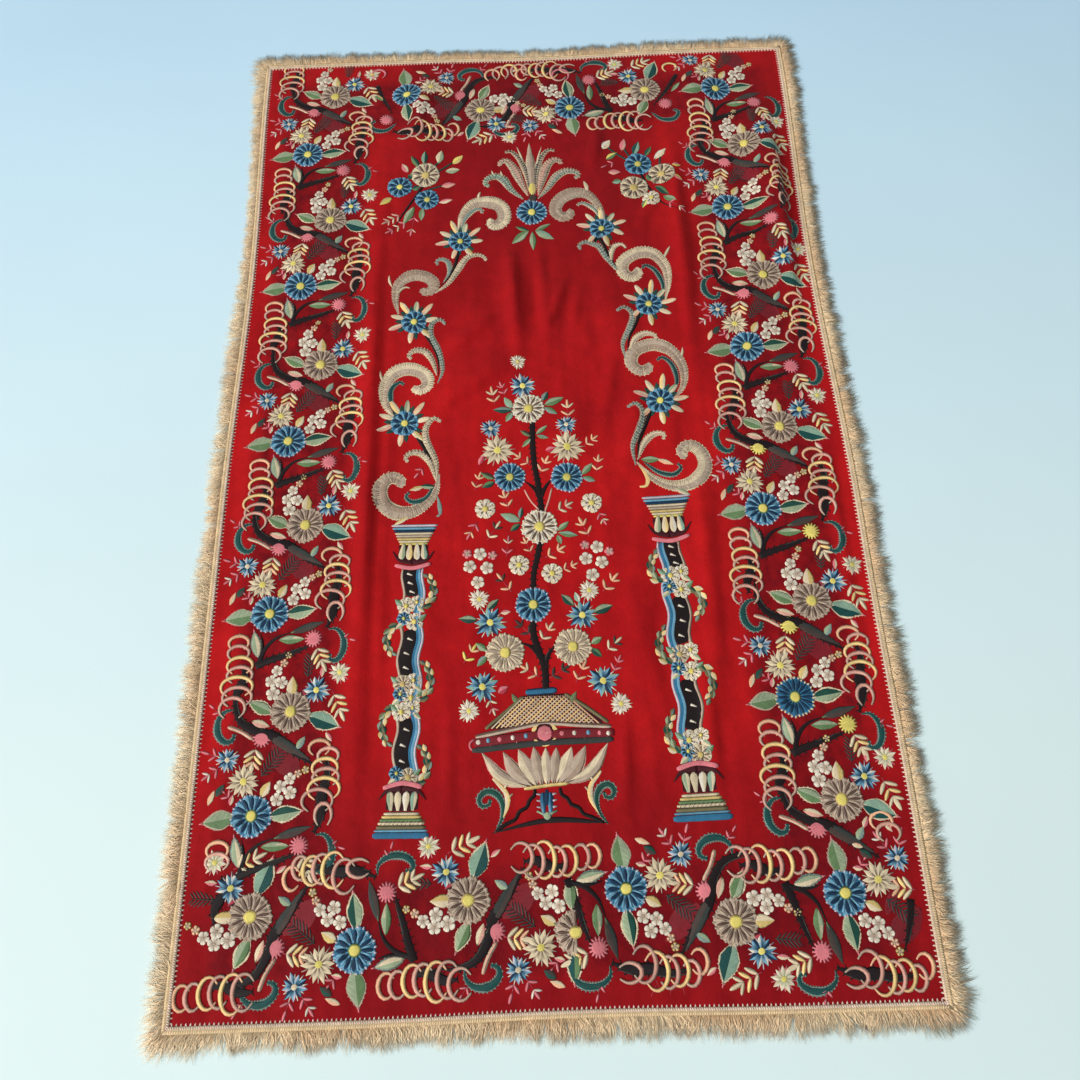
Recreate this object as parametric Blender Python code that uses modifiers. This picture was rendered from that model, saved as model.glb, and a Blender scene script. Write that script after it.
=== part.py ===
"""Embroidered prayer rug: a red wool cloth, a header braid round its edge and a brush fringe.

The rug lies on a level surface with its underside at Z = 0.  X runs across it, +Y points to the
end with the arch, and the origin is under the middle of it.  All sizes are in metres.
"""

import math
from collections import namedtuple

import bmesh
import bpy
from mathutils import Vector

# Driving dimensions.
CLOTH_WIDTH = 1.060          # as cut, with the 5 mm that the braid hides along each edge
CLOTH_LENGTH = 1.755
CLOTH_THICKNESS = 0.002
FRINGE_REACH = 0.045         # from the cloth's edge to the tips of the longest locks
HEAD_WIDTH = 0.0055          # woven head that the fringe hangs from
HEAD_THICKNESS = 0.002
BRAID_WIDTH = 0.010          # lies half on the cloth and half on the fringe's head
BRAID_THICKNESS = 0.0015
BRAID_STATION = 0.055        # spacing of its cross lines, which lets it follow the edge
GAP = 0.0003                 # between sewn pieces

# Fringe locks: flattened tufts that lie level on the surface.
LOCK_PITCH = 0.0216
LOCK_WIDTH = 0.0180
LOCK_CROWN_HEIGHT = 0.0085
LOCK_CROWN_PLACE = 0.32      # share of a lock's reach at which it is highest
LOCK_TIP_HEIGHT = 0.0045
LOCK_TIP_WIDTH = 0.0140
LOCK_UNEVENNESS = 2.1        # phase step between neighbours' lengths, in radians
LOCK_LENGTH_SPREAD = 0.10
LOCK_LEAN = math.radians(7)          # slow sway of the locks along a side
LOCK_SWAY_LENGTH = 0.31
CORNER_FAN = math.radians(36)        # how far the last locks turn to fill a corner
CORNER_FAN_REACH = 0.085
CORNER_STRETCH = 0.20        # how much further the last locks lie out

# The surface grid of the cloth, before its level stretches are merged.
CLOTH_COLUMNS = 62
CLOTH_ROWS = 78
LEVEL_ANGLE = math.radians(0.01)     # faces that count as one level face
MERGE_ANGLE = math.radians(1.6)      # faces on the folds that are merged
EDGE_LEVEL = 0.023           # strip along the edges that always lies level
EDGE_BLEND = 0.020
FOLD_END = 0.42              # share of a fold's length in which it rises or dies away

# Folds, each a soft ridge from (x0, y0) to (x1, y1).  left and right are its half widths on the
# two sides of that direction, and the smaller one is its steep flank.
Fold = namedtuple("Fold", "name x0 y0 x1 y1 height left right")
FOLDS = (
    Fold("left border crease", -0.286, -0.850, -0.284, 0.700, 0.0070, 0.050, 0.026),
    Fold("right border crease, upper", 0.279, 0.120, 0.281, 0.760, 0.0075, 0.038, 0.030),
    Fold("right border crease, lower", 0.250, -0.620, 0.272, 0.060, 0.0060, 0.040, 0.036),
    Fold("right border roll", 0.482, 0.170, 0.466, 0.800, 0.0230, 0.066, 0.038),
    Fold("field crease, left", -0.020, 0.120, -0.032, 0.420, 0.0075, 0.042, 0.026),
    Fold("field crease, right", 0.024, 0.150, 0.046, 0.350, 0.0060, 0.028, 0.034),
    Fold("field diagonal, lower", -0.230, 0.030, -0.020, 0.190, 0.0090, 0.055, 0.055),
    Fold("field diagonal, upper", -0.290, 0.170, -0.060, 0.400, 0.0060, 0.060, 0.060),
    Fold("top border swell, left", -0.215, 0.560, -0.200, 0.870, 0.0100, 0.060, 0.060),
    Fold("top border swell, right", 0.335, 0.640, 0.345, 0.880, 0.0080, 0.055, 0.055),
    Fold("right field swell", 0.180, 0.080, 0.130, 0.330, 0.0060, 0.050, 0.050),
    Fold("near border swell", 0.060, -0.870, 0.040, -0.660, 0.0060, 0.050, 0.045),
    Fold("left border buckle", -0.470, 0.330, -0.350, 0.480, 0.0060, 0.050, 0.045),
)

# How the sides of the cloth draw in between the corners, where folds take up width.
DrawIn = namedtuple("DrawIn", "centre half_length depth")
DRAW_INS = {
    "left": (DrawIn(0.36, 0.48, 0.009),),
    "right": (DrawIn(0.33, 0.52, 0.011), DrawIn(-0.30, 0.34, 0.003)),
    "near": (DrawIn(0.04, 0.34, 0.004),),
    "far": (DrawIn(0.05, 0.26, 0.005),),
}

# Where the fringe lies tucked short: the share of its reach that is left in the middle of it.
Tuck = namedtuple("Tuck", "centre half_length share")
TUCKS = {
    "left": (Tuck(0.56, 0.42, 0.66),),
    "right": (),
    "near": (),
    "far": (Tuck(-0.10, 0.34, 0.86),),
}

# The four sides: outward direction, direction along the side, distance from the middle to the
# cloth's edge, and half the length of that edge.
Side = namedtuple("Side", "outward along edge half_length")
SIDES = {
    "left": Side(Vector((-1, 0)), Vector((0, 1)), CLOTH_WIDTH / 2, CLOTH_LENGTH / 2),
    "right": Side(Vector((1, 0)), Vector((0, 1)), CLOTH_WIDTH / 2, CLOTH_LENGTH / 2),
    "near": Side(Vector((0, -1)), Vector((1, 0)), CLOTH_LENGTH / 2, CLOTH_WIDTH / 2),
    "far": Side(Vector((0, 1)), Vector((1, 0)), CLOTH_LENGTH / 2, CLOTH_WIDTH / 2),
}


def smoothstep(value):
    """0 below 0, 1 above 1, and a smooth rise between."""
    value = min(max(value, 0.0), 1.0)
    return value * value * (3.0 - 2.0 * value)


def hump(offset):
    """A smooth bump: 1 at 0, level and 0 from -1 outwards and from 1 outwards."""
    if abs(offset) >= 1.0:
        return 0.0
    return math.cos(offset * math.pi / 2) ** 2


def draw_in(side, along):
    """How far the cloth's edge lies inside its straight line at this place along a side."""
    return sum(row.depth * hump((along - row.centre) / row.half_length) for row in DRAW_INS[side])


def edge_point(side, along, out):
    """The plan point that lies a distance outside the cloth's edge, at a place along a side."""
    row = SIDES[side]
    reach = row.edge + out - draw_in(side, along)
    return row.along * along + row.outward * reach


def distance_to_edge(x, y):
    """How far a plan point lies inside the nearest edge of the cloth."""
    place = Vector((x, y))
    return min(
        row.edge - draw_in(side, place.dot(row.along)) - place.dot(row.outward)
        for side, row in SIDES.items()
    )


def fold_height(x, y):
    """How far the underside of the cloth is lifted off the surface by its folds."""
    total = 0.0
    for fold in FOLDS:
        start = Vector((fold.x0, fold.y0))
        run = Vector((fold.x1, fold.y1)) - start
        offset = Vector((x, y)) - start
        along = offset.dot(run) / run.length_squared
        to_left = (run.x * offset.y - run.y * offset.x) / run.length
        width = fold.left if to_left > 0.0 else fold.right
        ends = smoothstep(along / FOLD_END) * smoothstep((1.0 - along) / FOLD_END)
        total += fold.height * hump(to_left / width) * ends
    return total * smoothstep((distance_to_edge(x, y) - EDGE_LEVEL) / EDGE_BLEND)


def make_material(name, colour, roughness):
    """A plain cloth finish."""
    material = bpy.data.materials.new(name)
    material.use_nodes = True
    shader = material.node_tree.nodes["Principled BSDF"]
    shader.inputs["Base Color"].default_value = (*colour, 1.0)
    shader.inputs["Roughness"].default_value = roughness
    shader.inputs["Metallic"].default_value = 0.0
    material.diffuse_color = (*colour, 1.0)
    return material


def make_object(name, mesh_builder, material, collection):
    """Make a mesh object from a bmesh and link it to the rug's collection."""
    mesh = bpy.data.meshes.new(name)
    mesh_builder.to_mesh(mesh)
    mesh_builder.free()
    mesh.materials.append(material)
    item = bpy.data.objects.new(name, mesh)
    collection.objects.link(item)
    return item


def merge_faces(builder, angle, margin):
    """Merge the faces that meet within an angle, where they lie further inside than a margin."""
    verts = [
        vertex
        for vertex in builder.verts
        if not vertex.is_boundary and distance_to_edge(vertex.co.x, vertex.co.y) > margin
    ]
    chosen = set(verts)
    edges = [edge for edge in builder.edges if chosen.issuperset(edge.verts)]
    bmesh.ops.dissolve_limit(builder, angle_limit=angle, verts=verts, edges=edges)


def make_cloth(material, collection):
    """The ground cloth: one sheet on its folds, level and thin at its edges."""
    builder = bmesh.new()
    bmesh.ops.create_grid(builder, x_segments=CLOTH_COLUMNS, y_segments=CLOTH_ROWS, size=0.5)
    for vertex in builder.verts:
        across, up = vertex.co.x + 0.5, vertex.co.y + 0.5
        straight_x = (across - 0.5) * CLOTH_WIDTH
        straight_y = (up - 0.5) * CLOTH_LENGTH
        shift_x = draw_in("left", straight_y) * (1 - across) - draw_in("right", straight_y) * across
        shift_y = draw_in("near", straight_x) * (1 - up) - draw_in("far", straight_x) * up
        x, y = straight_x + shift_x, straight_y + shift_y
        vertex.co = (x, y, fold_height(x, y))
    merge_faces(builder, LEVEL_ANGLE, -GAP)
    merge_faces(builder, MERGE_ANGLE, EDGE_LEVEL + EDGE_BLEND)
    bmesh.ops.triangulate(builder, faces=builder.faces[:])
    cloth = make_object("cloth", builder, material, collection)
    thickness = cloth.modifiers.new("thickness", "SOLIDIFY")
    thickness.thickness = CLOTH_THICKNESS
    thickness.offset = 1.0
    return cloth


def make_braid(side, material, collection):
    """One length of header braid, lying over the join of the cloth and the fringe's head."""
    segments = round(2 * SIDES[side].half_length / BRAID_STATION)
    builder = bmesh.new()
    bmesh.ops.create_grid(builder, x_segments=segments, y_segments=1, size=0.5)
    for vertex in builder.verts:
        out = vertex.co.y * BRAID_WIDTH
        reach = SIDES[side].half_length + out - GAP
        plan = edge_point(side, 2 * vertex.co.x * reach, out)
        vertex.co = (plan.x, plan.y, CLOTH_THICKNESS + GAP)
    raised = bmesh.ops.extrude_face_region(builder, geom=builder.faces[:])
    top = [item for item in raised["geom"] if isinstance(item, bmesh.types.BMVert)]
    bmesh.ops.translate(builder, verts=top, vec=(0, 0, BRAID_THICKNESS))
    bmesh.ops.recalc_face_normals(builder, faces=builder.faces[:])
    return make_object(f"braid_{side}", builder, material, collection)


def lock_places(side):
    """The middles of the fringe's locks, evenly spaced between the two corners."""
    free_length = 2 * (SIDES[side].half_length - LOCK_WIDTH / 2 + GAP)
    count = int(free_length / LOCK_PITCH) + 1
    pitch = free_length / (count - 1)
    return [pitch * index - free_length / 2 for index in range(count)]


def corner_share(side, along):
    """1 at the corners of a side, and 0 where its fringe points straight out."""
    to_corner = SIDES[side].half_length - abs(along)
    return smoothstep(1 - to_corner / CORNER_FAN_REACH)


def lock_turn(side, along):
    """How far a lock turns from straight out: a slow sway, and a fan towards the corners."""
    corner = corner_share(side, along)
    sway = LOCK_LEAN * math.sin(2 * math.pi * along / LOCK_SWAY_LENGTH)
    return math.copysign(CORNER_FAN * corner, along) + sway * (1 - corner)


def lock_reach(side, along, index):
    """How far a lock lies out of the head, which is uneven along a side."""
    full = FRINGE_REACH - HEAD_WIDTH - GAP
    share = 1.0 - LOCK_LENGTH_SPREAD * (0.5 - 0.5 * math.cos(LOCK_UNEVENNESS * index))
    for row in TUCKS[side]:
        share *= 1.0 - (1.0 - row.share) * hump((along - row.centre) / row.half_length)
    return full * share * (1.0 + CORNER_STRETCH * corner_share(side, along))


def shape_lock(builder, face, side, along, distance, width, height):
    """Move a lock's new cross-section out along its turned direction and set its size."""
    row = SIDES[side]
    turn = lock_turn(side, along)
    heading = row.outward * math.cos(turn) + row.along * math.sin(turn)
    across = row.along * math.cos(turn) - row.outward * math.sin(turn)
    root = edge_point(side, along, GAP + HEAD_WIDTH)
    for vertex in face.verts:
        side_of_lock = math.copysign(0.5, (vertex.co.to_2d() - root).dot(across))
        is_top = vertex.co.z > HEAD_THICKNESS / 2
        plan = root + heading * distance + across * side_of_lock * width
        vertex.co = (plan.x, plan.y, height if is_top else 0.0)


def nearest_face(faces, plan):
    """The face whose middle lies closest to a plan point."""
    return min(faces, key=lambda face: (face.calc_center_median().to_2d() - plan).length)


def make_fringe(side, material, collection):
    """One length of brush fringe: a narrow head with its locks drawn out of its outer face."""
    places = lock_places(side)
    cuts = []
    for along in places:
        cuts += [along - LOCK_WIDTH / 2, along + LOCK_WIDTH / 2]
    builder = bmesh.new()
    bmesh.ops.create_grid(builder, x_segments=len(cuts) - 1, y_segments=1, size=0.5)
    for vertex in builder.verts:
        station = cuts[round((vertex.co.x + 0.5) * (len(cuts) - 1))]
        out = GAP + (vertex.co.y + 0.5) * HEAD_WIDTH
        if abs(station) > places[-1]:
            station = math.copysign(SIDES[side].half_length + out - GAP, station)
        plan = edge_point(side, station, out)
        vertex.co = (plan.x, plan.y, 0.0)
    raised = bmesh.ops.extrude_face_region(builder, geom=builder.faces[:])
    top = [item for item in raised["geom"] if isinstance(item, bmesh.types.BMVert)]
    bmesh.ops.translate(builder, verts=top, vec=(0, 0, HEAD_THICKNESS))
    bmesh.ops.recalc_face_normals(builder, faces=builder.faces[:])
    outward = SIDES[side].outward.to_3d()
    outer = [face for face in builder.faces if face.normal.dot(outward) > 0.9]
    roots = [nearest_face(outer, edge_point(side, along, GAP + HEAD_WIDTH)) for along in places]
    for index, (along, root) in enumerate(zip(places, roots)):
        reach = lock_reach(side, along, index)
        sections = (
            (LOCK_CROWN_PLACE * reach, LOCK_WIDTH, LOCK_CROWN_HEIGHT),
            (reach, LOCK_TIP_WIDTH, LOCK_TIP_HEIGHT),
        )
        for distance, width, height in sections:
            drawn = bmesh.ops.extrude_discrete_faces(builder, faces=[root])
            root = drawn["faces"][0]
            shape_lock(builder, root, side, along, distance, width, height)
    bmesh.ops.recalc_face_normals(builder, faces=builder.faces[:])
    return make_object(f"fringe_{side}", builder, material, collection)


def main():
    """Clear the scene and model the rug."""
    for item in list(bpy.data.objects):
        bpy.data.objects.remove(item, do_unlink=True)
    collection = bpy.data.collections.new("prayer_rug")
    bpy.context.scene.collection.children.link(collection)
    wool = make_material("red_wool_cloth", (0.42, 0.012, 0.016), 0.85)
    braid = make_material("pink_braid", (0.76, 0.50, 0.42), 0.70)
    fringe = make_material("golden_fringe", (0.66, 0.42, 0.20), 0.65)
    make_cloth(wool, collection)
    for side in SIDES:
        make_braid(side, braid, collection)
        make_fringe(side, fringe, collection)


main()
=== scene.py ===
"""Embroidered prayer rug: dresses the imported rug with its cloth, needlework, braid and fringe.

The rug lies level with its underside at Z = 0, X across it and +Y towards the arch.  Sizes are in
metres, but the needlework charts are in centimetres.
"""

import math
from collections import namedtuple
from functools import partial

import bmesh
import bpy
import numpy as np
from bpy.props import FloatProperty, FloatVectorProperty, IntProperty, PointerProperty
from mathutils import Matrix, Vector
from mathutils.bvhtree import BVHTree


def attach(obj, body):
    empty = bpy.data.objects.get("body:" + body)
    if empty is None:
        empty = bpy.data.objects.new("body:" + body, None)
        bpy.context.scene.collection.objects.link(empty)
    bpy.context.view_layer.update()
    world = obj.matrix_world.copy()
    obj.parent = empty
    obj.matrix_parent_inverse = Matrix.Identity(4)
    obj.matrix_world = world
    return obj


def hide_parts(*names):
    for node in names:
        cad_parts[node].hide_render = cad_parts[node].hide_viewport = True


bl_info = {
    "name": "Embroidered prayer rug",
    "version": (1, 0, 0),
    "blender": (4, 5, 0),
    "location": "3D View > Sidebar > Prayer rug",
    "description": "Makes a red wool prayer rug with raised needlework, braid and fringe",
    "category": "Add Mesh",
}

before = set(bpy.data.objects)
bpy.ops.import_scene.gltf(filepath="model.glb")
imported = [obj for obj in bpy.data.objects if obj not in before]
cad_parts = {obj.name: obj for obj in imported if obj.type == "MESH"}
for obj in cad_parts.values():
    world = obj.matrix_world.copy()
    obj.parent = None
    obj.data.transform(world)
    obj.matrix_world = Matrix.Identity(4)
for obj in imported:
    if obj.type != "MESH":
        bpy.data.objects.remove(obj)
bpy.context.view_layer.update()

# ---------------------------------------------------------------------------
# The rug's lie, as its frame has it
# ---------------------------------------------------------------------------

CLOTH_WIDTH = 1.06
CLOTH_LENGTH = 1.755
CLOTH_THICKNESS = 0.002
FRINGE_REACH = 0.045
EDGE_LEVEL = 0.023           # how far the cloth lies flat inside its edge
EDGE_BLEND = 0.02
FOLD_END = 0.42              # the share of a fold's length over which each end runs out

# Soft ridges from (x0, y0) to (x1, y1); left and right are the half widths on their two sides.
Fold = namedtuple("Fold", "name x0 y0 x1 y1 height left right")
FOLDS = (
    Fold("left border crease", -0.286, -0.85, -0.284, 0.7, 0.007, 0.05, 0.026),
    Fold("right border crease, upper", 0.279, 0.12, 0.281, 0.76, 0.0075, 0.038, 0.03),
    Fold("right border crease, lower", 0.25, -0.62, 0.272, 0.06, 0.006, 0.04, 0.036),
    Fold("right border roll", 0.482, 0.17, 0.466, 0.8, 0.023, 0.066, 0.038),
    Fold("field crease, left", -0.02, 0.12, -0.032, 0.42, 0.0075, 0.042, 0.026),
    Fold("field crease, right", 0.024, 0.15, 0.046, 0.35, 0.006, 0.028, 0.034),
    Fold("field diagonal, lower", -0.23, 0.03, -0.02, 0.19, 0.009, 0.055, 0.055),
    Fold("field diagonal, upper", -0.29, 0.17, -0.06, 0.4, 0.006, 0.06, 0.06),
    Fold("top border swell, left", -0.215, 0.56, -0.2, 0.87, 0.01, 0.06, 0.06),
    Fold("top border swell, right", 0.335, 0.64, 0.345, 0.88, 0.008, 0.055, 0.055),
    Fold("right field swell", 0.18, 0.08, 0.13, 0.33, 0.006, 0.05, 0.05),
    Fold("near border swell", 0.06, -0.87, 0.04, -0.66, 0.006, 0.05, 0.045),
    Fold("left border buckle", -0.47, 0.33, -0.35, 0.48, 0.006, 0.05, 0.045),
)
# Sharper creases that only the finished cloth has.
CREASES = (
    Fold("left border press line", -0.287, -0.72, -0.284, 0.64, 0.0045, 0.024, 0.013),
    Fold("left field line", -0.262, -0.56, -0.252, 0.3, 0.0035, 0.016, 0.014),
    Fold("left border swell", -0.35, -0.5, -0.345, 0.1, 0.005, 0.04, 0.05),
    Fold("right border press line", 0.281, 0.0, 0.283, 0.72, 0.0056, 0.014, 0.024),
    Fold("right border line, lower", 0.262, -0.56, 0.272, 0.02, 0.0036, 0.016, 0.026),
    Fold("right border roll", 0.395, 0.06, 0.4, 0.56, 0.007, 0.036, 0.05),
    Fold("field wrinkle 1", -0.026, 0.13, -0.036, 0.43, 0.008, 0.024, 0.012),
    Fold("field wrinkle 2", 0.022, 0.17, 0.016, 0.41, 0.007, 0.012, 0.02),
    Fold("field wrinkle 3", 0.03, 0.23, 0.07, 0.33, 0.0048, 0.014, 0.012),
    Fold("field wrinkle 4", 0.01, 0.2, 0.06, 0.27, 0.0042, 0.012, 0.012),
    Fold("field wrinkle 5", 0.07, 0.19, 0.092, 0.32, 0.0042, 0.014, 0.012),
    Fold("field diagonal line", -0.19, 0.04, -0.02, 0.16, 0.0066, 0.026, 0.016),
    Fold("field diagonal line, upper", -0.17, 0.16, -0.05, 0.26, 0.006, 0.024, 0.016),
    Fold("field swell, middle", 0.0, -0.06, 0.12, 0.06, 0.006, 0.045, 0.03),
    Fold("arch diagonal, right", 0.09, 0.33, 0.2, 0.48, 0.006, 0.018, 0.024),
    Fold("arch diagonal, right 2", 0.2, 0.42, 0.275, 0.56, 0.006, 0.02, 0.018),
    Fold("right field line", 0.145, -0.11, 0.195, 0.12, 0.007, 0.034, 0.016),
    Fold("right field line 2", 0.11, -0.02, 0.15, 0.19, 0.0046, 0.02, 0.016),
    Fold("right margin line", 0.226, -0.16, 0.24, 0.22, 0.0035, 0.034, 0.024),
    Fold("lower right line", 0.112, -0.64, 0.122, -0.44, 0.005, 0.016, 0.012),
    Fold("lower right swell", 0.165, -0.5, 0.15, -0.22, 0.006, 0.05, 0.034),
    Fold("lower right line 2", 0.252, -0.64, 0.24, -0.35, 0.006, 0.018, 0.018),
    Fold("lower left line", -0.15, -0.64, -0.143, -0.42, 0.004, 0.016, 0.016),
    Fold("lower left swell", -0.23, -0.48, -0.17, -0.2, 0.005, 0.05, 0.04),
    Fold("right selvedge line", 0.5, -0.56, 0.49, 0.1, 0.005, 0.02, 0.016),
    Fold("top wrinkle", 0.12, 0.56, 0.15, 0.69, 0.0056, 0.018, 0.018),
    Fold("top wrinkle 2", 0.06, 0.64, 0.045, 0.76, 0.0044, 0.016, 0.016),
    Fold("top wrinkle 3", -0.22, 0.64, -0.205, 0.8, 0.005, 0.02, 0.016),
    Fold("near wrinkle", 0.02, -0.8, 0.01, -0.66, 0.004, 0.016, 0.016),
    Fold("left border wrinkle", -0.46, 0.2, -0.33, 0.26, 0.004, 0.018, 0.016),
)

# Stretches where the folds draw a side of the cloth in.
DrawIn = namedtuple("DrawIn", "centre half_length depth")
DRAW_INS = {
    "left": (DrawIn(0.36, 0.48, 0.009),),
    "right": (DrawIn(0.33, 0.52, 0.011), DrawIn(-0.3, 0.34, 0.003)),
    "near": (DrawIn(0.04, 0.34, 0.004),),
    "far": (DrawIn(0.05, 0.26, 0.005),),
}
# Stretches where a side's fringe lies tucked under, to a share of its reach.
Tuck = namedtuple("Tuck", "centre half_length share")
TUCKS = {"left": Tuck(0.56, 0.42, 0.66), "far": Tuck(-0.1, 0.34, 0.86)}
# edge is the distance from the rug's middle to a side.
Side = namedtuple("Side", "outward along edge half_length")
SIDES = {
    "left": Side(np.array((-1.0, 0.0)), np.array((0.0, 1.0)), CLOTH_WIDTH / 2, CLOTH_LENGTH / 2),
    "right": Side(np.array((1.0, 0.0)), np.array((0.0, 1.0)), CLOTH_WIDTH / 2, CLOTH_LENGTH / 2),
    "near": Side(np.array((0.0, -1.0)), np.array((1.0, 0.0)), CLOTH_LENGTH / 2, CLOTH_WIDTH / 2),
    "far": Side(np.array((0.0, 1.0)), np.array((1.0, 0.0)), CLOTH_LENGTH / 2, CLOTH_WIDTH / 2),
}


def smoothstep(value):
    """0 below 0, 1 above 1, and a smooth rise between."""
    value = np.clip(value, 0.0, 1.0)
    return value * value * (3.0 - 2.0 * value)


def hump(offset):
    """A smooth bump: 1 at 0 and 0 from -1 and 1 outwards."""
    return np.where(np.abs(offset) < 1.0, np.cos(np.asarray(offset) * np.pi / 2) ** 2, 0.0)


def draw_in(side, along):
    """How far the cloth's edge lies inside its straight line."""
    return sum(row.depth * hump((along - row.centre) / row.half_length) for row in DRAW_INS[side])


def edge_places(side, along, out):
    """Plan points a distance outside the cloth's edge, at places along a side."""
    row = SIDES[side]
    along, out = np.broadcast_arrays(np.asarray(along, float), np.asarray(out, float))
    reach = row.edge + out - draw_in(side, along)
    return along[..., None] * row.along + reach[..., None] * row.outward


def distance_to_edge(x, y):
    """How far plan points lie inside the nearest edge of the cloth."""
    inside = []
    for side, row in SIDES.items():
        along = x * row.along[0] + y * row.along[1]
        outward = x * row.outward[0] + y * row.outward[1]
        inside.append(row.edge - draw_in(side, along) - outward)
    return np.minimum.reduce(inside)


def ridge_height(folds, x, y):
    """The summed height of a table of folds at plan points."""
    total = np.zeros_like(x)
    for fold in folds:
        run = np.array((fold.x1 - fold.x0, fold.y1 - fold.y0))
        length = float(np.hypot(*run))
        along = ((x - fold.x0) * run[0] + (y - fold.y0) * run[1]) / length**2
        to_left = (run[0] * (y - fold.y0) - run[1] * (x - fold.x0)) / length
        width = np.where(to_left > 0.0, fold.left, fold.right)
        ends = smoothstep(along / FOLD_END) * smoothstep((1.0 - along) / FOLD_END)
        total += fold.height * hump(to_left / width) * ends
    return total


def swell_height(x, y):
    """The low, uneven swells of cloth that has been folded away and laid out again."""
    slow = np.sin(7.3 * x + 3.1 * y + 0.6) * np.sin(5.2 * y - 2.7 * x + 1.1)
    quick = np.sin(19.0 * x - 7.0 * y) * np.sin(13.0 * y + 9.0 * x + 2.0)
    return 0.0011 * (0.65 + 0.5 * slow + 0.3 * quick)


def underside_height(x, y):
    """How far the cloth's underside is lifted off the surface."""
    height = ridge_height(FOLDS, x, y) + ridge_height(CREASES, x, y)
    height = height + np.maximum(swell_height(x, y), 0.0)
    return height * smoothstep((distance_to_edge(x, y) - EDGE_LEVEL) / EDGE_BLEND)


def sewn_share(x, y):
    """How thickly the cloth is covered with needlework: 1 within the borders, 0 in the field."""
    inner = np.maximum(np.abs(x) - 0.3, np.abs(y) - 0.67)
    outer = np.maximum(np.abs(x) - 0.5, np.abs(y) - 0.84)
    return smoothstep(inner / 0.05) * smoothstep(-outer / 0.04)


def painted_shade_share(x, y):
    """How much painted shade darkens the wool: most in the upper field and at the near end."""
    upper = 0.55 * smoothstep((y + 0.05) / 0.65) * (1.0 - 0.7 * smoothstep((np.abs(x) - 0.2) / 0.1))
    return upper + 0.55 * smoothstep((-0.4 - y) / 0.35)


def dye(name, red, green, blue):
    """A colour setting, from its 0 to 255 values on a screen."""
    linear = []
    for value in (red / 255, green / 255, blue / 255):
        linear.append(value / 12.92 if value <= 0.04045 else ((value + 0.055) / 1.055) ** 2.4)
    return FloatVectorProperty(
        name=name, description=f"{name} colour", subtype="COLOR", size=3, min=0.0, max=1.0,
        default=tuple(linear),
    )


class RugThreads(bpy.types.PropertyGroup):
    """Thread colours of the needlework."""

    light_blue: dye("Light blue", 112, 164, 188)
    mid_blue: dye("Middle blue", 44, 106, 140)
    dark_blue: dye("Dark blue", 14, 48, 76)
    teal: dye("Teal", 20, 74, 70)
    mint: dye("Mint", 142, 172, 148)
    pale_green: dye("Pale green", 158, 172, 138)
    leaf_green: dye("Leaf green", 104, 132, 88)
    dark_green: dye("Dark green", 24, 74, 62)
    grey_green: dye("Grey green", 132, 150, 140)
    cream: dye("Cream", 226, 206, 170)
    white: dye("White", 234, 222, 200)
    pale_taupe: dye("Pale taupe", 190, 168, 146)
    taupe: dye("Taupe", 170, 145, 124)
    dark_taupe: dye("Dark taupe", 104, 80, 68)
    yellow: dye("Yellow", 232, 214, 112)
    ochre: dye("Ochre", 214, 186, 116)
    gold: dye("Gold", 248, 212, 140)
    tan_pink: dye("Tan pink", 224, 166, 146)
    peach: dye("Peach", 240, 184, 144)
    pink: dye("Pink", 222, 124, 130)
    rose: dye("Rose", 184, 60, 74)
    plum: dye("Plum", 128, 24, 34)
    wine: dye("Wine", 66, 10, 20)
    black_brown: dye("Black brown", 24, 10, 12)
    grey_brown: dye("Grey brown", 74, 60, 54)
    lilac: dye("Lilac", 204, 190, 196)
    charcoal: dye("Charcoal", 58, 62, 58)
    olive: dye("Olive", 118, 108, 76)


class RugSettings(bpy.types.PropertyGroup):
    """Sizes and colours of the cloth, braid, fringe and floor."""

    cloth_rows: IntProperty(
        name="Cloth rows", description="Rows of faces along the cloth", default=276, min=60, max=280
    )
    thread_height: FloatProperty(
        name="Thread height", description="Height of one layer of stitches", default=0.00012,
        min=0.00005, max=0.0005, unit="LENGTH",
    )
    strands: IntProperty(
        name="Fringe strands", description="Strands of the fringe to each metre of edge",
        default=3400, min=500, max=3600,
    )
    strand_width: FloatProperty(
        name="Strand width", description="Width of one strand of the fringe", default=0.001,
        min=0.0003, max=0.002, unit="LENGTH",
    )
    wool_bright: dye("Wool, brushed up", 188, 20, 22)
    wool_deep: dye("Wool, brushed down", 160, 12, 18)
    # Painted shade: the wool is darkened towards this colour between the border stitches, over the upper
    # field and at the near end.
    wool_sewn: dye("Wool between stitches", 104, 8, 18)
    braid_pink: dye("Braid", 250, 222, 208)
    fringe_gold: dye("Fringe", 250, 218, 171)
    fringe_tip: dye("Fringe tips", 250, 231, 198)
    # Painted shade at the bunched roots of the fringe, together with its golden tone.
    fringe_root: dye("Fringe roots", 234, 188, 136)
    # Painted light falloff: the floor runs from the near colour to the darker, bluer far colour.
    floor_near_lit: dye("Floor, near", 222, 240, 238)
    floor_far_shade: dye("Floor, far", 196, 228, 246)


THREAD_NAMES = tuple(RugThreads.__annotations__)
THREADS = {}                 # filled from the settings before anything is stitched


def mix_threads():
    """Read the thread colours from the settings."""
    settings = bpy.context.scene.rug_threads
    THREADS.update({name: np.array(getattr(settings, name)[:]) for name in THREAD_NAMES})


# ---------------------------------------------------------------------------
# Needlework.  Charts are in centimetres, x to the right and y towards the arch.
# ---------------------------------------------------------------------------

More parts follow.
